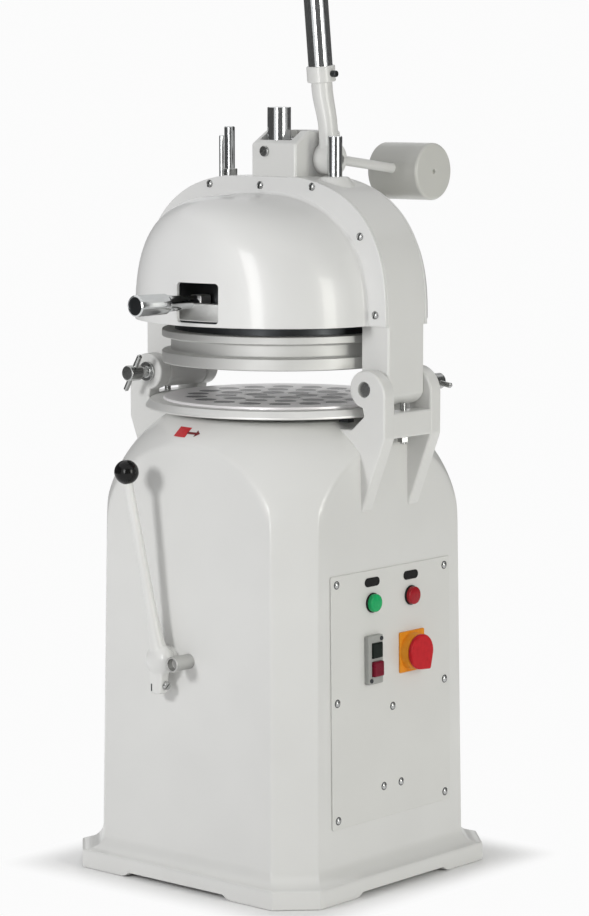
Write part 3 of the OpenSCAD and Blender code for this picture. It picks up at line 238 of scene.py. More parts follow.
skirt_z = np.array([0, 1, 3, 8, 14, 30, 33.5, 35.3])
skirt_half = foot_half - np.array([3, 1, 0, 0, 0, 0, 0.5, 1.8])
cove_turn = np.linspace(0, np.pi / 2, 9)
cove_foot = foot_half - cove_step
cove_half = cove_foot - (cove_foot - face_at(foot_height + cove_height)) * np.sin(cove_turn)
cove_z = foot_height + cove_height * (1 - np.cos(cove_turn))
straight_z = np.linspace(80, 560, 10)
curved_z = np.linspace(575, stand_top - top_round, 120)
column_z = np.concatenate([straight_z, curved_z, [stand_top - top_drop, stand_top]])
outer_z = np.concatenate([skirt_z, cove_z, column_z])
outer_half = np.concatenate([skirt_half, cove_half, face_at(column_z)])
share_up = np.clip((outer_z - foot_height) / cove_height, 0, 1)
outer_corner = foot_corner + (column_corner - foot_corner) * share_up
outer_round = foot_round + (column_round - foot_round) * share_up
outside = under_shoulder(eight_sided(outer_half, outer_corner, outer_z, outer_round), 0)
outside[-2:, :, :2] *= 1 - (np.array([top_drop, top_round]) / top_reach)[:, None, None]
low_side = np.minimum(np.abs(outside[..., 0]), np.abs(outside[..., 1]))
foot_gap = gap_rise * np.clip((gap_half - low_side) / gap_ramp, 0, 1)
level = outside[..., 2]
outside[..., 2] = np.maximum(level, np.where(level < skirt_low, foot_gap + skirt_squeeze * level, 0))
inner_z = np.linspace(stand_top - roof, wall_low, 24)
even = np.ones_like(inner_z)
inner_ring = eight_sided(face_at(inner_z) - wall, column_corner * even, inner_z, wall_round * even)
inside = under_shoulder(inner_ring, wall)
mouth = outside[-1:] * [mouth_share, mouth_share, 1]
lip = inside[-1:] * [lip_share, lip_share, 1]
lip_foot = lip * [1, 1, 0] + [0, 0, lip_low]
stand_grid = np.concatenate([outside, mouth, mouth - [0, 0, roof], inside, lip, lip_foot])
cast_enamel = enamel("sprayed_enamel", ("#E5E5E3", "#DEDEDC"))
piece("cast_column", [shell(stand_grid, along=True)], "stand", cast_enamel, "enamel", "pedestal")

# Forked brackets
# Two ears and a shelf on each side are cast with the stand and carry the head's swing pins.
# They get the same enamel; only the bores are machined.


def unit(ways):
    """Each way at a length of one."""
    return ways / np.maximum(np.linalg.norm(ways, axis=-1, keepdims=True), 1e-9)


def corners(left, right, low, high):
    """The four corners of a rectangle."""
    return [(left, low), (right, low), (right, high), (left, high)]


def softened(outline, radius, steps=6, closed=True):
    """An outline with each corner replaced by an arc of a radius that touches both of its sides."""
    corner = np.asarray(outline, float)
    radius = np.broadcast_to(np.asarray(radius, float), len(corner))[:, None]
    back = unit(np.roll(corner, 1, axis=0) - corner)
    ahead = unit(np.roll(corner, -1, axis=0) - corner)
    straight = 0.99999
    half = np.arccos(np.clip((back * ahead).sum(axis=1, keepdims=True), -straight, straight)) / 2
    centre = corner + unit(back + ahead) * radius / np.sin(half)
    first = corner + back * radius / np.tan(half) - centre
    last = corner + ahead * radius / np.tan(half) - centre
    turn = np.pi - 2 * half[:, :, None]
    share = np.linspace(0, 1, steps)[None, :, None]
    swept = np.sin((1 - share) * turn) * first[:, None] + np.sin(share * turn) * last[:, None]
    arcs = centre[:, None] + swept / np.sin(turn)
    if closed:
        return arcs.reshape(-1, 2)
    return np.concatenate([corner[:1], arcs[1:-1].reshape(-1, 2), corner[-1:]])


def plate(outline, low, high, edge, place, steps=5):
    """A flat piece with rounded edges: its outline, drawn in along its own normals near both faces.

    A last ring inside each face keeps the face flat to the eye. No corner is drawn in by more than its own
    radius, which is that of the circle through a point and its two neighbours.
    """
    previous, following = np.roll(outline, 1, axis=0), np.roll(outline, -1, axis=0)
    ahead, before, after = following - previous, outline - previous, following - outline
    way_round = np.sign((outline[:, 0] * following[:, 1] - outline[:, 1] * following[:, 0]).sum())
    normal = unit(np.stack([ahead[:, 1], -ahead[:, 0]], axis=1)) * way_round
    bend = (before[:, 0] * after[:, 1] - before[:, 1] * after[:, 0]) * way_round
    sides = np.prod([np.linalg.norm(side, axis=1) for side in (before, after, before + after)], axis=0)
    tight = np.where(bend > 1e-9, sides / np.maximum(2 * bend, 1e-9), 1e9)
    most, face_inset = 0.97, 1.3 * edge
    room = most * np.minimum(tight, np.minimum(np.roll(tight, 1), np.roll(tight, -1)))
    turn = np.linspace(0, np.pi / 2, steps)
    rise, inset = edge * (1 - np.cos(turn)), edge * (1 - np.sin(turn))
    inset = np.concatenate([[face_inset], inset, inset[::-1], [face_inset]])
    height = np.concatenate([[low], low + rise, high - rise[::-1], [high]])
    flat = outline[None] - np.minimum(inset[:, None], room)[..., None] * normal[None]
    level = np.broadcast_to(height[:, None, None], flat.shape[:2] + (1,))
    return shell(place(np.concatenate([flat, level], axis=-1)))


def upright(points):
    """Turns an outline in X and Z so that its thickness runs along Y."""
    return points[..., [0, 2, 1]]


def upright_at(x=0, z=0, flip=(1, 1, 1)):
    """Places an upright piece at x and z, mirrored first along each axis whose flip is -1."""
    return lambda p: upright(p) * flip + [x, 0, z]


def arc(centre, radius, start, end, steps=24):
    """Points on a circle between two angles in degrees."""
    turn = np.radians(np.linspace(start, end, steps))
    return np.stack([centre[0] + radius * np.cos(turn), centre[1] + radius * np.sin(turn)], axis=1)


def round_grid(reach, height, turn):
    """Points at a reach from the axis and a height, for each angle of turn."""
    return np.stack([reach * np.cos(turn), reach * np.sin(turn), height + 0 * turn], axis=-1)


def turned(profile, place=None, steps=72, along=False):
    """A turned piece: a profile of radius and height carried round its axis."""
    profile = np.asarray(profile, float)
    points = round_grid(profile[:, :1], profile[:, 1:], np.linspace(0, 2 * np.pi, steps, endpoint=False))
    return shell(place(points) if place else points, along=along)


pin_reach, pin_z, pin_radius, pin_play = 268, 923.5, 14, 0.4
boss_radius, ear_low, ear_high, ear_edge = 34, 52, 82, 4
bracket_out, ear_root, ear_top, ear_drop = 316, 190, 870, 13
gusset_z, shelf_low, shelf_high = 699, 835, 881
gusset, shelf_corner = (face_at(gusset_z) + 1, gusset_z), (bracket_out, shelf_low)
notch_x, notch_high, notch_z, root_x, root_top = 266.5, 888, 874, 238.5, 849
notch = [(notch_x, notch_high), (notch_x, notch_z), (root_x, root_top), (ear_root, root_top)]
ear_outline = np.concatenate([
    softened([(ear_root, gusset_z), gusset, shelf_corner], 8, closed=False)[:-1],
    softened([gusset, shelf_corner, (bracket_out, ear_top)], 26, closed=False)[1:],
    arc((pin_reach, pin_z - ear_drop), bracket_out - pin_reach, 0, 90),
    arc((pin_reach, pin_z), boss_radius, 92, 262, 40),
    softened(notch, 5, closed=False)[1:],
])
ears = [
    plate(ear_outline, low, high, ear_edge, upright_at(flip=(side, 1, 1)))
    for side in (1, -1) for low, high in ((ear_low, ear_high), (-ear_high, -ear_low))
]
bore = corners(0, pin_radius + pin_play, -90, 90)
bores = [turned(bore, upright_at(side * pin_reach, pin_z)) for side in (1, -1)]
piece("forked_brackets", ears, "stand", cast_enamel, "enamel", "side_brackets", cut=bores)
shelf_in, shelf_out, shelf_half = 273, bracket_out - 0.6, ear_low + 8
shelf_outline = softened(corners(shelf_in, shelf_out, shelf_low, shelf_high), 4)
shelves = [
    plate(shelf_outline, -shelf_half, shelf_half, 2, upright_at(flip=(side, 1, 1))) for side in (-1, 1)
]
piece("bracket_shelves", shelves, "stand", cast_enamel, "enamel")

# Bush and stop of the rounding lever
# A boss on the front holds a bronze bush for the lever's shaft, and a steel pin beside it stops the lever.
# The pin is turned from bar and drilled hollow at its end.
lever_side, lever_z = 43.5, 421
lever_face = face_at(lever_z)


def facing_front(x, z):
    """Places a turned piece on the front of the stand, its height running out to the front from y = 0."""
    return upright_at(x, z, (1, -1, 1))


def stub(radius, low, high, edge, place, steps=72, crown=0):
    """A turned stub with soft edges between two heights, its end raised by a crown in the middle."""
    profile = [(0, low), (radius, low), (radius, high), (0, high + crown)]
    return turned(softened(profile, edge, closed=False), place, steps)


boss_reach, boss_low, boss_high = 24, lever_face - 10, lever_face + 9.6
boss = stub(boss_reach, boss_low, boss_high, 3, facing_front(-lever_side, lever_z))
piece("lever_boss", [boss], "stand", cast_enamel, "enamel")


def grey_steel(name, colours, gloss, scratch=0.6):
    """Bare machined steel: metal with fine turning marks and dull patches where hands have been."""
    return grained(*mottled(name, colours, 35, gloss, {"Metallic": 1.0}), scratch, 0.006, (1, 1, 0.15))


machined_steel = grey_steel("machined_steel", ("#C4C5C4", "#A9AAA9"), (0.2, 0.34))
dull_steel = grey_steel("dull_steel", ("#CBCBC9", "#B9B9B7"), (0.5, 0.62))
dark_steel = grey_steel("dark_steel", ("#505254", "#3A3C3E"), (0.35, 0.5))
stop_x, stop_radius, stop_bore, stop_root = 6, 14, 10.8, 250
stop_end = lever_face + 46
stop_floor = stop_end - 14
stop_side = [(0, stop_root), (stop_radius, stop_root), (stop_radius, stop_end)]
stop_hollow = [(stop_bore, stop_end), (stop_bore, stop_floor), (0, stop_floor)]
stop_profile = softened(stop_side + stop_hollow, 1.2, closed=False)
stop_pin = turned(stop_profile, facing_front(stop_x, lever_z))
piece("stop_pin_turned", [stop_pin], "stand", dull_steel, "steel", "stop_pin")

# Red direction mark
# A short red paint mark with a plain arrow shows which way the table turns.
# Both are brushed on the finished enamel.


def on_shoulder(x, low, high, thick):
    """A thin strip wrapped on the front of the shoulder between two heights, which may vary with x."""
    z = np.stack([low + 0 * x, low + 0 * x, high + 0 * x, high + 0 * x], axis=1)
    reach = shoulder_at(z) + [-1.0, thick, thick, -1.0]
    return shell(np.stack([x[:, None] + 0 * z, -np.sqrt(reach ** 2 - x[:, None] ** 2), z], axis=-1))


def brushed_paint(name, colours):
    """Brushed red paint: an even colour, with strokes a little duller in patches of about 6 mm."""
    return mottled(name, colours, 6, (0.35, 0.5))[0]


mark_low, mark_high, mark_thick = 830, 846, 1.2
shaft_low, shaft_high, arrow_thick = 836, 839.5, 1.3
mark_x, shaft_x, tip_x = np.linspace(-49, -18, 14), np.linspace(-19, 2, 8), np.linspace(2, 11, 6)
tip_z, tip_half = 837.7, 5 * (11.3 - tip_x) / 9
red_paint = brushed_paint("red_paint", ("#D2232E", "#B3161F"))
dark_paint = brushed_paint("dark_red_paint", ("#7A1A20", "#5E1218"))
mark = on_shoulder(mark_x, mark_low, mark_high, mark_thick)
piece("direction_mark", [mark], "stand", red_paint, "red_plastic")
arrow_shaft = on_shoulder(shaft_x, shaft_low, shaft_high, arrow_thick)
arrow_tip = on_shoulder(tip_x, tip_z - tip_half, tip_z + tip_half, arrow_thick)
piece("direction_arrow", [arrow_shaft, arrow_tip], "stand", dark_paint, "red_plastic")

# Control panel
# A sheet-steel cover screwed over the service opening of the right face, sprayed with the stand.
# Its round-headed screws are slotted; a dark ring round each head is painted shade of the gap under it.
panel_middle, panel_half_wide, panel_half_tall = 360, 172, 232
panel_back, panel_thick, panel_seat = 0.2, 3, 2.9
screw_side, screw_rise = 156, 216


def on_panel(points):
    """Carries points given as across, height and distance out to the leaning right face of the stand."""
    across, up, out = points[..., 0], points[..., 1] - panel_middle, points[..., 2]
    x = face_at(panel_middle) - up * math.sin(draft) + out * math.cos(draft)
    z = panel_middle + up * math.cos(draft) + out * math.sin(draft)
    return np.stack([x, across, z], axis=-1)


def box_outline(across, height, wide, tall, radius):
    """A rectangle with round corners about a middle."""
    half_wide, half_tall = wide / 2, tall / 2
    box = corners(across - half_wide, across + half_wide, height - half_tall, height + half_tall)
    return softened(box, radius)


def panel_box(across, height, wide, tall, radius, low, high, edge):
    """A moulded block on the panel: a rectangle about a middle, between two distances out."""
    return plate(box_outline(across, height, wide, tall, radius), low, high, edge, on_panel)


def button_on_panel(across, height):
    """Places a turned piece on the panel with its axis pointing out."""
    return lambda p: on_panel(p + [across, height, 0])


def round_head(radius, low, edge, middle, dome, start):
    """Profile of a round screw head: a short side, then an arc about a middle from a start angle up."""
    return np.concatenate([[(0, low), (radius, low), (radius, edge)], arc((0, middle), dome, start, 90, 7)])


def sleeve(bore, radius, low, high, edge, place=None, steps=72):
    """A turned sleeve with soft edges, between a bore and a radius and two heights."""
    return turned(softened(corners(bore, radius, low, high), edge), place, steps, along=True)


def screw_slot(half_long, half_wide, way, middle, low, high, place):
    """The slot of a screw: a narrow bar about a middle, turned along a way given as its cosine and sine."""
    turn = [[way[0], way[1]], [-way[1], way[0]]]
    outline = np.array(corners(-half_long, half_long, -half_wide, half_wide)) @ turn + middle
    return plate(softened(outline, 0.3), low, high, 0.1, place, 2)


panel_enamel = enamel("panel_enamel", ("#E2E2DF", "#DBDBD8"))
panel = panel_box(0, panel_middle, 2 * panel_half_wide, 2 * panel_half_tall, 3, panel_back, panel_thick, 0.9)
piece("panel_sheet", [panel], "stand", panel_enamel, "panel_enamel", "control_panel")
screw_spots = [
    (across * screw_side, panel_middle + height * screw_rise) for across in (-1, 1) for height in (-1, 0, 1)
] + [(1.7, 332), (-25, 186), (25, 186)]
screw_dome = round_head(6.2, 2.0, 3.8, -1.2, 8.0, 39)
heads = [turned(screw_dome, button_on_panel(*spot), 28) for spot in screw_spots]
slots = [screw_slot(8, 0.9, (0.5, -0.87), spot, 5.2, 9, on_panel) for spot in screw_spots]
piece("panel_screw_heads", heads, "stand", machined_steel, "steel", "panel_screws", cut=slots)
# A dark ring under each head: painted shade of the gap between the head and the sheet.
shade_rings = [sleeve(5.6, 7.6, 2.6, 3.5, 0.3, button_on_panel(*spot), 28) for spot in screw_spots]
piece("panel_shade_rings", shade_rings, "stand", dark_steel, "dark_steel")

# Signal lamps and tags
# Moulded lenses pushed into a thin black bezel, green on the left and red on the right.
# A blank black tag sits above each.


def moulded(name, colours, gloss, clear=0.0):
    """Moulded plastic: an even colour with soft flow patches and a fine mould grain of about 1 mm."""
    plastic = {"IOR": 1.49, "Specular IOR Level": 0.16, "Coat Weight": clear}
    return grained(*mottled(name, colours, 9, gloss, plastic), 1.2, 0.012)


lamp_side, lamp_z, tag_z = 56, 532, 570
lens_radius, lens_low, lens_high, lens_crown = 16.5, 4, 15, 0.8
bezel_bore, bezel_radius, bezel_high = 15.5, 18.3, 6.4
grey_plastic = moulded("grey_plastic", ("#AEAFAC", "#A3A4A1"), (0.35, 0.5))
black_plastic = moulded("black_plastic", ("#202020", "#141414"), (0.3, 0.5))
for across, name, colours in (
    (-lamp_side, "green", ("#20BA6E", "#149A5A")),
    (lamp_side, "red", ("#B4202B", "#8E141E")),
):
    place = button_on_panel(across, lamp_z)
    glass = moulded(name + "_lens", colours, (0.16, 0.26), 0.1)
    lens = stub(lens_radius, lens_low, lens_high, 3.2, place, 56, lens_crown)
    piece(name + "_lens", [lens], "stand", glass, name + "_lens", name + "_lamp")
    bezel = sleeve(bezel_bore, bezel_radius, panel_thick, bezel_high, 0.9, place, 56)
    piece(name + "_bezel", [bezel], "stand", black_plastic, "black_plastic")
tag_wide, tag_tall, tag_round, tag_out = 42, 16.5, 8.0, 4.2
tags = [
    panel_box(across, tag_z, tag_wide, tag_tall, tag_round, panel_seat, tag_out, 0.5)
    for across in (-lamp_side, lamp_side)
]
piece("blank_tags", tags, "stand", black_plastic, "black_plastic", "label_tags")

# Start and stop switch
# A grey moulded case with a dark green start button above a taller red stop button.
# The case is screwed to the panel, and each button slides in a well of its own.
switch_z, case_wide, case_tall, case_shift, case_out = 428, 42, 90, 2.5, 13.5
button_rise, button_wide, button_root, well_wide, well_floor = 17, 28, 9.6, 28.8, 6
case = panel_box(-lamp_side - case_shift, switch_z, case_wide, case_tall, 3, panel_seat, case_out, 2)
wells = [
    panel_box(-lamp_side, switch_z + rise, well_wide, well_wide, 1.5, well_floor, 30, 0.2)
    for rise in (-button_rise, button_rise)
]
piece("switch_housing", [case], "stand", grey_plastic, "grey_plastic", "switch_case", cut=wells)
case_spots = [(-lamp_side + 13, switch_z + 38), (-lamp_side - 16, switch_z - 38)]
case_screws = [stub(4, 12, 15.4, 0.6, button_on_panel(*spot), 24, 0.4) for spot in case_spots]
piece("case_screws", case_screws, "stand", dark_steel, "dark_steel")
for name, rise, radius, top, edge, finish_name, colours, gloss in (
    ("start", button_rise, 2.2, 17, 1.6, "dark_green_plastic", ("#0E1C15", "#07120C"), (0.25, 0.4)),
    ("stop", -button_rise, 3.2, 20, 2.4, "dark_red_plastic", ("#840E2C", "#66071E"), (0.22, 0.38)),
):
    cap = panel_box(-lamp_side, switch_z + rise, button_wide, button_wide, radius, button_root, top, edge)
    piece(name + "_cap", [cap], name, moulded(finish_name, colours, gloss), finish_name, name + "_button")

# Main switch
# A yellow moulded plate with a round collar carries a red turning handle whose squared corner is its pointer.
# The plate is fixed to the panel, and the handle turns on a neck inside the collar.
yellow_plastic = moulded("yellow_plastic", ("#F0A030", "#E58E1E"), (0.35, 0.5))
red_plastic = moulded("red_plastic", ("#D3232C", "#B81620"), (0.25, 0.4))
yellow_wide, yellow_tall, yellow_out = 72, 76, 6.5
yellow_collar = softened([(15, 5), (35, 5), (33, 22), (15, 22)], [0.5, 0.5, 3, 0.5])
on_switch = button_on_panel(lamp_side, switch_z)
yellow = [
    panel_box(lamp_side, switch_z, yellow_wide, yellow_tall, 3, panel_seat, yellow_out, 1.2),
    turned(yellow_collar, on_switch, along=True),
]
piece("switch_plate_moulded", yellow, "stand", yellow_plastic, "yellow_plastic", "switch_plate")
handle_radius, handle_low, handle_high = 33, 22.6, 31
handle_round = arc((0, 0), handle_radius, -8, 262, 64)
handle_corner = softened([(-4.6, -32.7), (25, -35), (32.7, -4.6)], 4, closed=False)[1:-1]
handle_outline = np.concatenate([handle_round, handle_corner]) + [lamp_side, switch_z]
neck = corners(0, 14, 3, 24)
handle = [plate(handle_outline, handle_low, handle_high, 2.6, on_panel), turned(neck, on_switch, 40)]
piece("switch_turn_handle", handle, "switch", red_plastic, "red_plastic", "switch_handle")

# Drive inside the stand
# Motor, belt and bearings hang under the stand's top and are seen only from below.
# The solids keep their shapes and get finishes of iron, steel, bronze, paint and rubber.


def rubber(name, colours, patch, gloss, grain, depth):
    """Moulded black rubber: dull, with worn patches and a pitted grain that takes the shine off."""
    return grained(*mottled(name, colours, patch, gloss), grain, depth)


def paint(finish, *names):
    """Gives the solids that no new piece stands for their finish."""
    for name in names:
        nodes[name].data.materials.clear()
        nodes[name].data.materials.append(finish)


cast_iron = grey_steel("cast_iron", ("#8B8D8C", "#727473"), (0.45, 0.6), 2.0)
bronze = grey_steel("bearing_bronze", ("#B8935A", "#9C7844"), (0.3, 0.42))
motor_paint = enamel("motor_paint", ("#66717B", "#586069"))
belt_rubber = rubber("belt_rubber", ("#232323", "#171717"), 12, (0.6, 0.75), 1.5, 0.08)
paint(cast_iron, "bearing_housing", "motor_mount", "main_pulley", "motor_pulley", "crank_head", "crank_arm")
paint(machined_steel, "shaft_bearings", "main_shaft", "eccentric_slider", "table_bearing")
paint(machined_steel, "lever_shaft", "adjusting_screws")
paint(dark_steel, "stop_block_piece")
paint(bronze, "lever_bush", "pinion_bushes")
paint(motor_paint, "motor")
paint(belt_rubber, "v_belt")

# Rounding table
# A turned aluminium disc whose rim is bevelled above a narrow lip; fine turning rings stay on its faces.
# It sits on the bearing of the eccentric pin and orbits with it.
table_low, table_high, table_rim, rim_lip, rim_bevel = 870, 885, 255, 4, 8
plate_radius, plate_top = 222, 890
fine_steps = 160


def turned_aluminium(name, colours, gloss, ring, metal=1.0):
    """Faced aluminium with turning rings round the Z axis, spaced in mm; a worn dull skin is less metal.

    At a scale of 1 Blender's wave repeats every tenth of pi metres, which is 314 mm.
    """
    finish, shader, place = mottled(name, colours, 60, gloss, {"Metallic": metal})
    flat = put(finish, "ShaderNodeMapping", {"Vector": place, "Scale": (1, 1, 0)}).outputs["Vector"]
    rings = put(finish, "ShaderNodeTexWave", {"Vector": flat, "Scale": 314 / ring, "Distortion": 0.4},
                wave_type="RINGS", rings_direction="Z")
    groove = {"Height": rings.outputs["Fac"], "Distance": 0.02 / 1000, "Strength": 0.6}
    bump = put(finish, "ShaderNodeBump", groove)
    finish.node_tree.links.new(bump.outputs["Normal"], shader.inputs["Normal"])
    return finish


table_aluminium = turned_aluminium("faced_aluminium", ("#EAEAE8", "#E0E0DE"), (0.42, 0.56), 3.0, 0.6)
rim_profile = softened([(0, table_low), (table_rim, table_low), (table_rim, table_low + rim_lip),
                        (table_rim - rim_bevel, table_high), (0, table_high)],
                       [0.1, 1.5, 0.8, 1.5, 0.1], closed=False)[1:-1]
under_plate = [(plate_radius - 6, table_high), (0, table_high)]
table_profile = np.concatenate([[(0, table_low)], rim_profile, under_plate])
table = turned(table_profile, steps=fine_steps)
piece("table_disc", [table], "table", table_aluminium, "aluminium", "rounding_table")

# Rounding plate
# A cast and polished plate with 36 shallow pockets in rings of 6, 12 and 18, one for each piece of dough.
# It lies on the table, and a duller, darker disc in each pocket is painted shade of the hollow.
pocket_radius, pocket_depth, pocket_edge, floor_inset, floor_sunk = 21, 2, 4, 1.6, 0.5
ring_counts, ring_reach = (6, 12, 18), (47.6, 104.8, 160.4)
pocket_turn = np.concatenate([(np.arange(count) + 0.5) * 2 * np.pi / count for count in ring_counts])
pocket_x = np.repeat(ring_reach, ring_counts) * np.cos(pocket_turn)
pocket_y = np.repeat(ring_reach, ring_counts) * np.sin(pocket_turn)


def pocketed(reach, turn):
    """Height of the plate's top: flat, less a soft-edged dip inside each pocket's circle."""
    x, y = reach * np.cos(turn), reach * np.sin(turn)
    away = np.hypot(x[..., None] - pocket_x, y[..., None] - pocket_y).min(axis=-1)
    share = np.clip((pocket_radius - away) / pocket_edge + 0.5, 0, 1)
    return plate_top - pocket_depth * share ** 2 * (3 - 2 * share)


def moved(x, y):
    """Places an upright turned piece at x and y."""
    return lambda p: p + [x, y, 0]


plate_turn = np.linspace(0, 2 * np.pi, 288, endpoint=False)
plate_reach = np.concatenate([np.linspace(0.01, 190, 110), np.linspace(195, plate_radius - 2, 6)])[:, None]
top_grid = round_grid(plate_reach, pocketed(plate_reach, plate_turn), plate_turn)
rim_reach = plate_radius - np.array([0.7, 0, 0, 2])[:, None]
rim_height = np.array([plate_top - 0.4, plate_top - 1.6, table_high + 0.5, table_high - 0.4])[:, None]
plate_grid = np.concatenate([top_grid, round_grid(rim_reach, rim_height, plate_turn)])
plate_aluminium = turned_aluminium("polished_plate", ("#F4F2F3", "#EEECED"), (0.3, 0.42), 4.0, 0.2)
piece("pocket_plate", [shell(plate_grid)], "table", plate_aluminium, "aluminium", "rounding_plate")
floor_high = plate_top - floor_sunk
# A dark, dull disc in each pocket: painted shade of the pocket's hollow.
pocket_disc = corners(0, pocket_radius - floor_inset, floor_high - 1, floor_high)
pocket_shade_discs = [turned(pocket_disc, moved(x, y), 40) for x, y in zip(pocket_x, pocket_y)]
pocket_shade_finish = turned_aluminium("pocket_painted_shade", ("#7E7E80", "#727274"), (0.34, 0.44), 4.0, 0.6)
piece("pocket_shade_discs", pocket_shade_discs, "table", pocket_shade_finish, "aluminium")

# Rounding lever
# One casting in white enamel: a tapering arm, a round hub and a split lug that a screw clamps on the shaft.
# A black phenolic ball is screwed on its end.


def tube(path, radius, steps=36, reference=(0, 1, 0)):
    """A round bar: circles of given radii square to a path, with their frame carried along it."""
    path = np.asarray(path, float)
    ahead = unit(np.gradient(path, axis=0))
    side = unit(np.cross(ahead, np.asarray(reference, float)))
    rise = np.cross(side, ahead)
    turn = np.linspace(0, 2 * np.pi, steps, endpoint=False)
    radius = np.broadcast_to(np.asarray(radius, float), len(path))[:, None, None]
    ring = np.cos(turn)[None, :, None] * side[:, None] + np.sin(turn)[None, :, None] * rise[:, None]
    return shell(path[:, None] + radius * ring)


def melted(made, grain, passes):
    """Runs a casting's parts together with fillets: rebuilds the skin at a grain in mm and smooths it."""
    skin = made.modifiers.new("skin", "REMESH")
    skin.mode = "VOXEL"
    skin.voxel_size = grain / 1000
    skin.use_smooth_shade = True
    ease = made.modifiers.new("ease", "SMOOTH")
    ease.factor = 0.5
    ease.iterations = passes


def crosswise(x=0, y=0, z=0):
    """Places a piece with its thickness or axis along X."""
    return lambda p: p[..., [2, 0, 1]] + [x, y, z]


hub_front, hub_back = lever_face + 36, lever_face + 12
hub_middle = (hub_front + hub_back) / 2
hub_radius, hub_bulge = 30, 21
ball_reach, ball_radius, ball_lean, ball_out = 350, 22.5, math.radians(7.8), 36
lug_left, lug_right, lug_low = -60, -32, lever_z - 63
ball_x, ball_z = -lever_side - ball_reach * math.sin(ball_lean), lever_z + ball_reach * math.cos(ball_lean)
ball_place = np.array([ball_x, -hub_middle - ball_out, ball_z])
hub_place = np.array([-lever_side, -hub_middle, lever_z])
share = np.linspace(0, 0.95, 60)
arm_path = hub_place + share[:, None] * (ball_place - hub_place)
arm_radius = 8 + 3 * (1 - share) + 8 * np.clip(1 - share / 0.32, 0, 1) ** 2
hub_profile = arc((0, 0), 1, -90, 90, 40) * [hub_radius, hub_bulge] + [0, hub_middle]
lug_root = [(lug_right + 6, lever_z), (lug_left - 2, lever_z)]
lug_outline = softened([(lug_left, lug_low), (lug_right, lug_low)] + lug_root, [8, 8, 2, 2])
lever = shape("rounding_lever_cast", [
    tube(arm_path, arm_radius),
    turned(hub_profile, facing_front(-lever_side, lever_z)),
    plate(lug_outline, -hub_front, -hub_back - 2, 4, upright),
])
melted(lever, 1.6, 14)
fix(lever, "rounding_handle", cast_enamel, "enamel", "lever_arm")
# The lug's split is a dark bar on its face, not a cut: painted shade of the gap.
slit_x, slit_z, slit_wide, slit_tall = -54, lever_z - 51, 3, 14
slit_outline = box_outline(slit_x, slit_z, slit_wide, slit_tall, 0.6)
slit = plate(slit_outline, -hub_front - 0.3, -hub_front + 4, 0.2, upright, 2)
piece("clamp_slit_shade", [slit], "rounding_handle", dark_steel, "dark_steel")
lever_run = unit(ball_place - hub_place)
lever_side_way = unit(np.cross([0, 1, 0], lever_run))
lever_front_way = np.cross(lever_run, lever_side_way)


def on_lever_end(points):
    """Places the ball with its foot pointing down the leaning arm."""
    x, y, z = points[..., :1], points[..., 1:2], points[..., 2:]
    return ball_place + x * lever_side_way + y * lever_front_way + z * lever_run


phenolic = moulded("black_phenolic", ("#1A1A1A", "#101010"), (0.12, 0.22), 0.15)
ball = turned(arc((0, 0), ball_radius, -90, 90, 40), on_lever_end, 56)
piece("ball_grip", [ball], "rounding_handle", phenolic, "black_plastic", "ball_knob")
clamp_z, clamp_radius = lever_z - 46, 8
clamp = stub(clamp_radius, lug_right - 4, lug_right + 8, 1.2, crosswise(0, -hub_middle, clamp_z), 40)
slot_floor, slot_end = lug_right + 5.4, lug_right + 12
clamp_slot = screw_slot(10, 1.3, (0.77, 0.64), (-hub_middle, clamp_z), slot_floor, slot_end, crosswise())
piece("clamp_screw_turned", [clamp], "rounding_handle", machined_steel, "steel", "clamp_screw",
      cut=[clamp_slot])

# Tee screws
# Turned steel swing pins with a collar, a neck and a drilled head that holds a loose cross bar.
# Both are zinc plated. The left one goes in from the front and the right one from the back.
tee_profile = softened(
    [(0, -78), (14, -78), (14, 82.3), (19, 82.3), (19, 87.3), (10, 87.3), (10, 107.3), (15, 107.3),
     (15, 139.3), (0, 139.3)],
    [0.1, 1.5, 0.3, 1.2, 1.2, 2, 2, 2, 3, 0.1], closed=False)
tee_along, tee_bar_y = np.linspace(-41, 41, 24), 123.3
tee_round = np.clip(np.abs(tee_along) - 37, 0, 4) ** 2 / 17
tee_radius = 5 * np.sqrt(np.clip(1 - tee_round, 0.02, 1))


def plated(name, colours, gloss):
    """Chrome or zinc over ground steel: a near mirror with faint hand marks and grinding lines along Z."""
    return grained(*mottled(name, colours, 28, gloss, {"Metallic": 1.0}), 0.9, 0.002, (1, 1, 0.06))


chrome = plated("hard_chrome", ("#D9DBDC", "#C6C8C9"), (0.08, 0.16))
zinc = plated("bright_zinc", ("#BFC0BF", "#A6A7A6"), (0.2, 0.32))
for name, side, lean in (("left_tee", -1, math.radians(29)), ("right_tee", 1, math.radians(82))):
    pin = turned(tee_profile, upright_at(side * pin_reach, pin_z, (1, side, 1)), 56)
    bar_x = -side * tee_along * math.sin(lean) + side * pin_reach
    bar_path = np.stack([bar_x, side * tee_bar_y + 0 * tee_along, tee_along * math.cos(lean) + pin_z], axis=1)
    piece(name + "_turned", [pin, tube(bar_path, tee_radius)], name, zinc, "steel", name + "_screw")

# Yoke of the head
# An arch cast in one with its legs; the right leg swings on its pin and the left one is slotted to lift off.
# Its top is bored for the plunger and the guide rods and milled out for the pinion.
rim_z, head_top = 1036, 1300
arch_half, arch_height, arch_power = 300, 268, 2.7
dome_half, dome_height, dome_power, dome_depth, nose_power = 254, 232, 2.5, 215, 5.7
yoke_half, flange_out = 54, 60
leg_half, leg_in, leg_out, leg_low, leg_high, slot_half = 51, 236, 300, 912, 1048, 16
pivot_y, pivot_z, pinion_room = 32, 1332, 43.5
plunger_y, plunger_hole, rod_side, right_hole, left_hole = -6.6, 25, 130, 14.2, 10.6


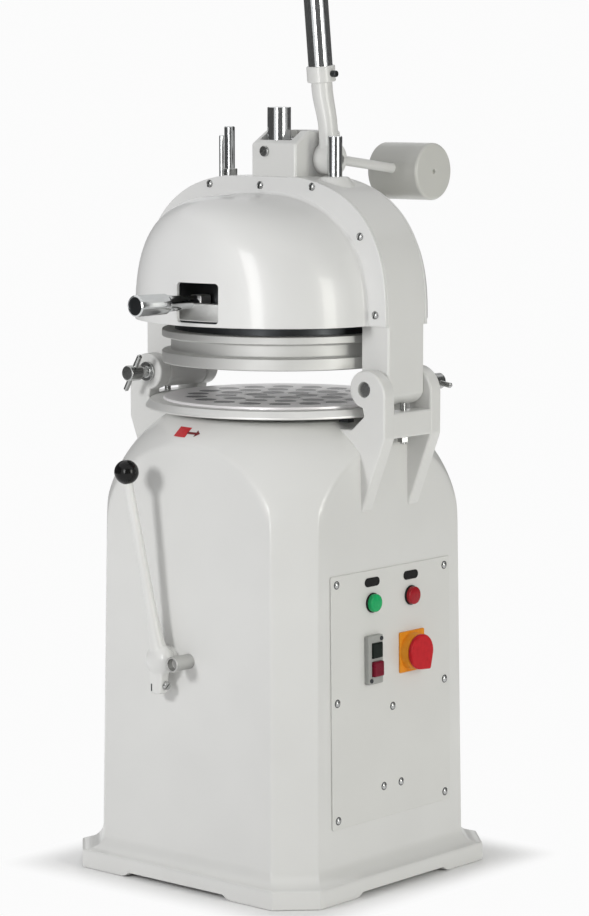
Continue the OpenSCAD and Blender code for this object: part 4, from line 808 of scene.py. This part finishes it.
def arch_side(count):
    """Right half of the yoke's outline from rim to flat top: a superellipse cut off at the head's height."""
    share = (head_top - rim_z) / arch_height * np.sin(np.linspace(0, np.pi / 2, count))
    reach = arch_half * (1 - share ** arch_power) ** (1 / arch_power)
    return np.stack([reach, rim_z + arch_height * share], axis=1)


def dome_side(inset, count):
    """Right half of the covers' outline at the flange: a superellipse, drawn in by an inset."""
    turn = np.linspace(0, np.pi / 2, count)
    reach = (dome_half - inset) * np.cos(turn) ** (2 / dome_power)
    return np.stack([reach, rim_z + (dome_height - inset) * np.sin(turn) ** (2 / dome_power)], axis=1)


def band(inset, count=48):
    """The closed outline between the arch and the covers' opening."""
    outer, inner = arch_side(count), dome_side(inset, count)
    mirror = [-1, 1]
    return np.concatenate([outer, (outer * mirror)[::-1], inner * mirror, inner[::-1][1:]])


yoke = shape("yoke_arch", [plate(band(7), -yoke_half, yoke_half, 2.5, upright)])
cut_away(yoke, [
    turned(corners(0, hole, 1200, 1340), moved(x, y), 48)
    for x, y, hole in ((0, plunger_y, plunger_hole), (rod_side, 0, right_hole), (-rod_side, 0, left_hole))
])
cut_away(yoke, [turned(corners(0, pinion_room, -18, 50), crosswise(0, pivot_y, pivot_z))])
fix(yoke, "head", cast_enamel, "enamel", "head_yoke")
leg_sides = [(leg_out, leg_low), (leg_out, leg_high), (leg_in, leg_high), (leg_in, leg_low)]
leg_outline = np.concatenate([
    arc((pin_reach, pin_z), boss_radius, -160, -20, 30),
    softened(leg_sides, 3, closed=False)[1:-1],
])
piece("right_leg", [plate(leg_outline, -leg_half, leg_half, 4, upright)], "head", cast_enamel, "enamel")
left_leg = plate(leg_outline, -leg_half, leg_half, 4, upright_at(flip=(-1, 1, 1)))
slot_foot = [(-pin_reach - slot_half, 860), (-pin_reach + slot_half, 860)]
slot_shape = np.concatenate([arc((-pin_reach, pin_z), slot_half, 0, 180), slot_foot])
leg_slot = plate(slot_shape, -80, 80, 0.2, upright, 2)
piece("left_leg", [left_leg], "head", cast_enamel, "enamel", cut=[leg_slot])
pad_profile = softened([(14, 1270), (46, 1270), (26, 1301), (14, 1301)], [0.5, 0.5, 8, 0.5])
piece("rod_pad", [turned(pad_profile, moved(rod_side, 0), 48, along=True)], "head", cast_enamel, "enamel")

# Covers
# Two cast shells with a flange, bolted to the front and the back of the yoke and sprayed with the same white.
# The front one has a window for the lock handle.
cover_enamel = enamel("cover_enamel", ("#E7E7E6", "#E1E1E0"))
skin_thick, outer_flare, inner_flare, flare_rise = 6, 8, 5, 30


def cover_skin(inset, flare, rise, turn):
    """One skin of a cover: at each height a half ellipse whose width and depth shrink as superellipses.

    Near the flange the skin flares out by a quarter-circle fillet.
    """
    share = np.sin(rise) ** (2 / dome_power)
    wide = (dome_half - inset) * np.cos(rise) ** (2 / dome_power)
    deep = (dome_depth - inset) * np.clip(1 - share ** nose_power, 0, 1) ** (1 / nose_power)
    x = wide[:, None] * np.cos(turn)
    y = -yoke_half - deep[:, None] * np.sin(turn)
    z = np.broadcast_to((rim_z + (dome_height - inset) * share)[:, None], x.shape)
    near = np.clip(flare - (np.abs(y) - flange_out), 0, 0.98 * flare)
    spread = flare - np.sqrt(np.maximum(flare ** 2 - near ** 2, 0))
    slope_x = np.cos(rise) ** (2 - 2 / dome_power)
    slope_z = np.sin(rise) ** (2 - 2 / dome_power)
    length = np.hypot(slope_x, slope_z)[:, None]
    out_x = np.sign(np.cos(turn)) * (slope_x[:, None] / length)
    out_z = slope_z[:, None] / length
    fade = np.clip((z - rim_z) / flare_rise, 0, 1)
    return np.stack([x + spread * out_x, y, z + spread * out_z * fade], axis=-1)


near_flange = np.linspace(0, 0.12, 13)
skin_turn = np.concatenate([near_flange, np.linspace(0.13, np.pi - 0.13, 89), np.pi - near_flange[::-1]])
skin_rise = np.concatenate([np.linspace(0, 1.48, 52), [1.505, 1.525, 1.543, 1.556, 1.564]])
outer_skin = cover_skin(0, outer_flare, skin_rise, skin_turn)
inner_skin = cover_skin(skin_thick, inner_flare, skin_rise, skin_turn)
cover_lip = outer_skin[:1] * 0.5 + inner_skin[:1] * 0.5 - [0, 0, 0.8]
outer_middle, inner_middle = outer_skin[-1:] * [0, 1, 1], inner_skin[-1:] * [0, 1, 1]
skin_grid = np.concatenate([inner_middle, inner_skin[::-1], cover_lip, outer_skin, outer_middle])


def cover(side):
    """The skins and the flange of one cover; side is 1 for the front and -1 for the back."""
    facing = (1, side, 1)
    skins = shell(skin_grid * facing, around=False, ends=False)
    return [skins, plate(band(2), -flange_out, -yoke_half, 1.6, upright_at(flip=facing))]


window_left, window_right = math.tan(math.radians(-4.6)), math.tan(math.radians(15.3))
window_x, window_z, window_wide, window_tall = (window_left + window_right) * 131 + 4, 1078, 92, 73
window = plate(box_outline(window_x, window_z, window_wide, window_tall, 7), -320, -170, 0.2, upright, 2)
piece("front_cover_shell", cover(1), "head", cover_enamel, "enamel", "front_cover", cut=[window])
piece("back_cover_shell", cover(-1), "head", cover_enamel, "enamel", "rear_cover")
cover_spots = [(0, 1284), (126, 1284), (-126, 1284), (240, 1197), (-240, 1197), (276, 1057), (-276, 1057)]
cover_dome = round_head(7.2, flange_out - 1, flange_out + 1.4, flange_out - 4, 8.4, 36)
cover_heads = [
    turned(cover_dome, upright_at(x, z, (1, side, 1)), 28) for x, z in cover_spots for side in (-1, 1)
]
piece("cover_screw_heads", cover_heads, "head", zinc, "steel", "cover_screws")
# Each slot is a dark bar through the head, not a cut: painted shade of the slot.
slot_low, slot_high = flange_out + 1, flange_out + 4.45
cover_slot_shades = [
    screw_slot(6.4, 1.1, (0.35, 0.94), spot, low, high, upright)
    for spot in cover_spots for low, high in ((-slot_high, -slot_low), (slot_low, slot_high))
]
piece("cover_screw_slot_shades", cover_slot_shades, "head", dark_steel, "dark_steel")

# Rack block
# A cast housing on the head's top for the pinion, open above the rack, with a slotted oil plug in front.
# A turned and plated collar beside it guides the left rod.
block_left, block_right, block_front, block_back, block_top = -36, 72, -44, 86, 1384
block_low = head_top - 9
block_slope = [(-4, block_top), (block_front, 1360)]
block_box = [(block_front, block_low), (block_back, block_low), (block_back, block_top)]
block_outline = softened(block_box + block_slope, 6)
block = plate(block_outline, block_left, block_right, 5, crosswise())
rack_room = plate(softened(corners(-33, 72, 1312, 1420), 3), -25, 52, 2, crosswise())
piece("rack_case", [block], "head", cast_enamel, "enamel", "rack_block", cut=[rack_room])
plug_x, plug_z, plug_radius, plug_low, plug_high, plug_crown = -2, 1346, 10, 43, 49, 0.6
plug = stub(plug_radius, plug_low, plug_high, 1.2, facing_front(plug_x, plug_z), 40, plug_crown)
plug_slot = screw_slot(12, 1.4, (0.8, 0.6), (plug_x, plug_z), -55, -47.2, upright)
piece("oil_plug", [plug], "head", zinc, "steel", "block_plug", cut=[plug_slot])
collar = sleeve(10, 14.5, 1287, 1311, 1.2, moved(-rod_side, 0), 40)
piece("rod_collar", [collar], "head", zinc, "steel", "guide_collar")

# Plunger and guide rods
# Ground and chromed bars through the head's top; the plunger's back is milled into a rack for the pinion.
# They stand on the press and go down with it.
plunger_low, plunger_top, plunger_radius, groove_half, groove_mouth = 1017, 1427, 22, 13.6, 8
rack_low, rack_pitch, rack_root, rack_tip, rack_half = 1262.4, 15.71, -13.9, -8.4, 13.4
groove_turn = math.degrees(math.acos(groove_half / plunger_radius))
groove = [(groove_half, groove_mouth), (groove_half, rack_root),
          (-groove_half, rack_root), (-groove_half, groove_mouth)]
plunger_outline = np.concatenate([
    arc((0, plunger_y), plunger_radius, 180 - groove_turn, 360 + groove_turn, 80),
    softened(groove, 0.6, closed=False)[1:-1],
])
plunger = plate(plunger_outline, plunger_low, plunger_top, 1.4, moved(0, 0))
piece("plunger_ground", [plunger], "press", chrome, "chrome", "plunger")
tooth_z = rack_low + 4 + rack_pitch * np.arange(10)
tooth = np.array([(rack_root, 0), (rack_tip, 3.4), (rack_tip, 6.8), (rack_root, 10.2)])
teeth = (tooth[None] + np.stack([0 * tooth_z, tooth_z], axis=1)[:, None]).reshape(-1, 2)
rack_outline = np.concatenate([[(rack_root - 1, rack_low + 2)], teeth, [(rack_root - 1, plunger_top - 2)]])
rack = plate(rack_outline[::-1], -rack_half, rack_half, 0.2, crosswise(), 2)
piece("plunger_rack", [rack], "press", dark_steel, "dark_steel")


def ground_rod(radius, high, x, y):
    """An upright round rod from the press plate up, with a small chamfer on its top."""
    profile = [(0, plunger_low), (radius, plunger_low), (radius, high - 1.6), (radius - 1.4, high), (0, high)]
    return turned(profile, moved(x, y), 56)


rods = [
    ground_rod(13.5, 1375, rod_side, 0),
    ground_rod(10, 1390, -rod_side, 0),
    ground_rod(4.5, 1374, -125, -28),
]
rod_slot = plate(softened(corners(-150, -110, 1382, 1400), 0.5), -1.5, 1.5, 0.1, upright, 2)
piece("guide_rods_ground", rods, "press", chrome, "chrome", "guide_rods", cut=[rod_slot])

# Cutting ring and press
# A turned aluminium ring with two flanges closes on the table; the dark drum above it runs inside the covers.
# Knives, press plate and pads keep the shapes of their solids.
ring_low, ring_high, ring_out, ring_waist, ring_bore = 955, 1017, 224, 207, 190
satin_aluminium = turned_aluminium("satin_aluminium", ("#D4D4D2", "#CCCCCA"), (0.55, 0.7), 3.0)
ring_profile = softened(
    [(ring_bore, ring_low), (ring_out, ring_low), (ring_out, 977), (ring_waist, 978), (ring_waist, 1002),
     (ring_out, 1003), (ring_out, ring_high), (ring_bore, ring_high)],
    [1, 2.5, 2, 4, 4, 2, 2, 1])
ring = turned(ring_profile, steps=fine_steps, along=True)
piece("cutting_ring_turned", [ring], "press", satin_aluminium, "aluminium", "cutting_ring")
drum_bore, drum_radius, drum_top = 192, 200, 1117
drum = sleeve(drum_bore, drum_radius, ring_high - 1, drum_top, 1.5, steps=fine_steps)
piece("drum_turned", [drum], "press", dark_steel, "dark_steel", "press_drum")
paint(machined_steel, "knife_grid")
paint(cast_iron, "press_plate")
paint(satin_aluminium, "press_pads")

# Lock ring and handle
# A steel ring under the covers is turned by a chromed taper handle that comes out through the window.
# The handle is fixed in a lug of the ring, and a wider sector of the ring closes the window behind it.
lock_turn, lock_z = math.radians(-1.5), 1077.5


def on_lock(points):
    """Turns a piece that points to the front to the handle's rest angle."""
    x, y = points[..., 0], points[..., 1]
    return np.stack([x * math.cos(lock_turn) - y * math.sin(lock_turn),
                     x * math.sin(lock_turn) + y * math.cos(lock_turn), points[..., 2]], axis=-1)


def along_handle(points):
    """Places a turned piece on the axis of the lock handle."""
    return on_lock(facing_front(0, lock_z)(points))


sector_turn = np.radians(np.linspace(-112, -62, 40))[:, None]
sector_profile = softened(corners(228, 247, 1043, 1076), 2)
lock_lug = softened(corners(-14, 14, 1043, 1090), 4)
lock_ring = [
    sleeve(204, 232, 1042, 1064, 1.5, steps=fine_steps),
    shell(round_grid(sector_profile[:, 0], sector_profile[:, 1], sector_turn)),
    plate(lock_lug, -231, -204.5, 2, lambda p: on_lock(upright(p))),
]
pale_steel = grey_steel("pale_steel", ("#DCDCDA", "#CCCCCA"), (0.4, 0.5))
piece("lock_ring_turned", lock_ring, "lock", pale_steel, "steel", "lock_ring")
taper_profile = softened(
    [(0, 222), (11, 222), (12.5, 262), (16.5, 308), (18.8, 312), (19.5, 384), (16.5, 386), (16, 383),
     (0, 383)],
    [0.1, 0.5, 3, 2, 2, 1.5, 0.4, 0.4, 0.1], closed=False)
piece("lock_taper_handle", [turned(taper_profile, along_handle, 64)], "lock", chrome, "chrome", "lock_handle")
end_profile = [(0, 382.5), (15.8, 382.5), (15.8, 383.6), (0, 384.2)]
piece("lock_handle_end", [turned(end_profile, along_handle, 48)], "lock", dark_steel, "dark_steel")

# Press lever
# A cast arm in white enamel on the pinion's shaft, a clamped collar, and a chromed tube with a rubber grip.
# A set screw in the collar holds the tube.
lever_lean, tube_x, tube_radius, tube_bore, tube_low, tube_top = math.radians(6.4), 84, 22.5, 20.2, 150, 640
arm_x, arm_long, bend_start, bend_long = 91.5, 200, 60, 70


def about_pivot(points, lean):
    """Turns points about X by a lean and carries them to the lever's pivot."""
    x, y, z = points[..., 0], points[..., 1], points[..., 2]
    return np.stack([x, pivot_y + y * math.cos(lean) - z * math.sin(lean),
                     pivot_z + y * math.sin(lean) + z * math.cos(lean)], axis=-1)


def on_tube(points):
    """Places a piece on the leaning lever's tube, with its height along the lever."""
    return about_pivot(points + [tube_x, 0, 0], lever_lean)


reach = np.linspace(0, arm_long, 64)
bend = np.clip((reach - bend_start) / bend_long, 0, 1)
bend = bend ** 2 * (3 - 2 * bend)
press_path = about_pivot(np.stack([arm_x - (arm_x - tube_x) * bend, 0 * reach, reach], axis=1), lever_lean)
press_radius = 18 + 1.6 * bend + 4 * np.clip(1 - reach / 40, 0, 1)
press_hub = stub(29.5, 72.6, 109, 3, crosswise(0, pivot_y, pivot_z))
press_arm = shape("press_arm_cast", [tube(press_path, press_radius, 48), press_hub])
melted(press_arm, 1.6, 5)
fix(press_arm, "press_handle", cast_enamel, "enamel", "press_arm")
clamp_ring = softened([(19.5, 142), (26.5, 142), (26.5, 172), (22.2, 172)], [0.5, 2.5, 2, 0.5])
clamp_collar = turned(clamp_ring, on_tube, 56, along=True)
piece("lever_collar_turned", [clamp_collar], "press_handle", cast_enamel, "enamel", "lever_collar")
set_screw = stub(6, 25, 37.5, 1.5, lambda p: on_tube(crosswise(z=157)(p)), 32, 0.7)
piece("collar_set_screw", [set_screw], "press_handle", dark_steel, "dark_steel")
lever_tube = sleeve(tube_bore, tube_radius, tube_low, tube_top, 0.6, on_tube, 64)
piece("lever_tube_chromed", [lever_tube], "press_handle", chrome, "chrome", "lever_tube")
grip_low, grip_high, rib_pitch, rib_rise = 510, 646, 17, 0.5
grip_z = np.linspace(grip_low, grip_high, 60)
grip_ribs = 24.9 + rib_rise * np.cos((grip_z - grip_low) * 2 * np.pi / rib_pitch)
grip_profile = np.concatenate([[(22.4, grip_low)], np.stack([grip_ribs, grip_z], axis=1),
                               arc((17.5, 644.5), 7.4, 10, 90, 8), [(0, 652)]])
grip_rubber = rubber("grip_rubber", ("#222222", "#181818"), 15, (0.5, 0.65), 1.4, 0.05)
grip = turned(grip_profile, on_tube, 56)
piece("lever_grip_moulded", [grip], "press_handle", grip_rubber, "black_plastic", "lever_grip")
paint(machined_steel, "pinion_shaft")

# Counterweight
# A turned iron cylinder across the end of a round rod balances the lever; both wear the white enamel, the
# weight's painted a little darker and greener as shade.
# The lathe's centre mark stays in the end of the weight.
rod_x, rod_radius, weight_reach, weight_fall = 102, 9, 222, math.radians(7)
weight_radius, weight_half = 54, 60


def behind_pivot(points):
    """Carries points given across, back and up to the falling rod behind the pivot."""
    return about_pivot(points + [rod_x, 0, 0], -weight_fall)


weight_side = softened(corners(0, weight_radius, -weight_half, weight_half), 6, 8, closed=False)[1:-1]
centre_mark = [(5, weight_half), (4.2, weight_half - 0.6), (3.6, weight_half - 6), (0, weight_half - 7)]
weight_profile = np.concatenate([[(0, -weight_half)], weight_side, centre_mark])
weight = turned(weight_profile, lambda p: behind_pivot(crosswise(y=weight_reach)(p)), 112)
# The weight's enamel is darker and greener than the rod's: painted shade for its side.
shaded_weight_enamel = enamel("shaded_weight_enamel", ("#D6D6D1", "#CDCDC8"))
piece("counterweight_turned", [weight], "press_handle", shaded_weight_enamel, "enamel", "counterweight")
rod_along = np.linspace(14, 188, 20)
rod_path = behind_pivot(np.stack([0 * rod_along, rod_along, 0 * rod_along], axis=1))
rod_flare = 2.5 * np.clip((24 - rod_along) / 10, 0, 1)
rod_collar = 1.5 * np.clip((rod_along - 166) / 6, 0, 1)
weight_rod = tube(rod_path, rod_radius + rod_flare + rod_collar, 40, (1, 0, 0))
piece("weight_rod_round", [weight_rod], "press_handle", cast_enamel, "enamel", "weight_rod")

# Floor, light and camera
# A plain pale floor that fades into the white background. Two tall lamps make the streaks on the gloss,
# two fills and the room light the faces, and grey cards stand where only polished metal reflects them.
floor_half, background, room_light = 6.0, 0.97, 0.42
shade_near, shade_far, shade_round = 0.29, 0.4, 0.1


def in_sight(owner):
    """1 for rays from the camera, from gloss and through glass, and 0 for those that light the faces."""
    rays = put(owner, "ShaderNodeLightPath", {}).outputs
    seen = rays["Is Camera Ray"]
    for kind in ("Is Glossy Ray", "Is Transmission Ray"):
        seen = put(owner, "ShaderNodeMath", {0: seen, 1: rays[kind]}, operation="MAXIMUM").outputs[0]
    return seen


floor_mesh = bpy.data.meshes.new("floor")
floor_corners = [(x, y, 0) for x, y in corners(-floor_half, floor_half, -floor_half, floor_half)]
floor_mesh.from_pydata(floor_corners, [], [(0, 1, 2, 3)])
floor = bpy.data.objects.new("floor", floor_mesh)
bpy.context.scene.collection.objects.link(floor)
floor_paint, shader, place = new_finish("floor_paint", {"Base Color": linear("#F2F2F2"), "Roughness": 0.9})
spot = put(floor_paint, "ShaderNodeSeparateXYZ", {"Vector": place}).outputs
sideways = put(floor_paint, "ShaderNodeMath", {0: spot["X"]}, operation="ABSOLUTE").outputs[0]
endways = put(floor_paint, "ShaderNodeMath", {0: spot["Y"]}, operation="ABSOLUTE").outputs[0]
outwards = {0: sideways, 1: endways, 2: shade_round}
away = put(floor_paint, "ShaderNodeMath", outwards, operation="SMOOTH_MAX").outputs[0]
border = {"Value": away, "From Min": shade_near, "From Max": shade_far}
far = put(floor_paint, "ShaderNodeMapRange", border, interpolation_type="SMOOTHSTEP").outputs["Result"]
fade = put(floor_paint, "ShaderNodeMath", {0: far, 1: in_sight(floor_paint)}, operation="MULTIPLY").outputs[0]
white = put(floor_paint, "ShaderNodeEmission", {"Color": (1, 1, 1, 1), "Strength": background})
both = {"Fac": fade, 1: shader.outputs["BSDF"], 2: white.outputs["Emission"]}
mix = put(floor_paint, "ShaderNodeMixShader", both)
surface = floor_paint.node_tree.nodes["Material Output"].inputs["Surface"]
floor_paint.node_tree.links.new(mix.outputs["Shader"], surface)
floor_mesh.materials.append(floor_paint)

world = bpy.data.worlds.new("studio")
world.use_nodes = True
bpy.context.scene.world = world
room = world.node_tree.nodes["Background"]
brightness = {"Value": in_sight(world), "To Min": room_light, "To Max": background}
strength = put(world, "ShaderNodeMapRange", brightness).outputs["Result"]
world.node_tree.links.new(strength, room.inputs["Strength"])
room.inputs["Color"].default_value = (1, 1, 1, 1)


def lamp(name, power, wide, tall, turn, away, height):
    """A soft lamp in watts and metres, at an azimuth in degrees and a distance, aimed at the stand's top."""
    aim = 0.9
    light = bpy.data.lights.new(name, "AREA")
    light.shape = "RECTANGLE"
    light.energy = power
    light.size = wide
    light.size_y = tall
    made = bpy.data.objects.new(name, light)
    bpy.context.scene.collection.objects.link(made)
    turn = math.radians(turn)
    made.location = (away * math.cos(turn), away * math.sin(turn), height)
    made.rotation_euler = (math.pi / 2 - math.atan2(height - aim, away), 0, turn + math.pi / 2)
    return made


lamp("front_lamp", 34, 0.62, 1.7, -70, 3.4, 1.5).visible_diffuse = False
lamp("right_lamp", 32, 0.8, 1.7, -4, 3.4, 1.4).data.color = linear("#FFFFF7")[:3]
lamp("front_fill", 18.5, 0.45, 0.45, -99, 2.2, 1.4).visible_glossy = False
lamp("back_fill", 32, 1.4, 1.4, 132, 3.4, 2.4).visible_glossy = False


def grey_cards(name, colours, start, end):
    """Grey cards standing in an arc round the object between two azimuths; they show only in reflections."""
    card_reach, card_low, card_high = 3900, 100, 3600
    turn = np.radians(np.linspace(start, end, 24))
    grid = np.stack([round_grid(card_reach, height, turn) for height in (card_low, card_high)])
    card = shape(name, [shell(grid, around=False, ends=False)])
    card.data.materials.append(mottled(name, colours, 400, (0.8, 0.9))[0])
    card.visible_camera = False
    card.visible_diffuse = False
    card.visible_shadow = False
    card.visible_transmission = False


grey_cards("left_cards", ("#707070", "#666666"), -215, -100)
grey_cards("middle_cards", ("#8C8C8C", "#828282"), -62, -14)
grey_cards("right_cards", ("#707070", "#666666"), 20, 118)

camera_data = bpy.data.cameras.new("camera")
camera_data.lens = 121.0
camera_data.sensor_width = 36.0
camera_data.sensor_fit = "AUTO"
camera_data.clip_end = 50
camera = bpy.data.objects.new("camera", camera_data)
camera.location = (3.7818, -4.3327, 1.481)
camera.rotation_euler = (math.radians(82.957), 0, math.radians(40.876))
bpy.context.scene.collection.objects.link(camera)
bpy.context.scene.camera = camera
bpy.context.scene.view_settings.view_transform = "Standard"
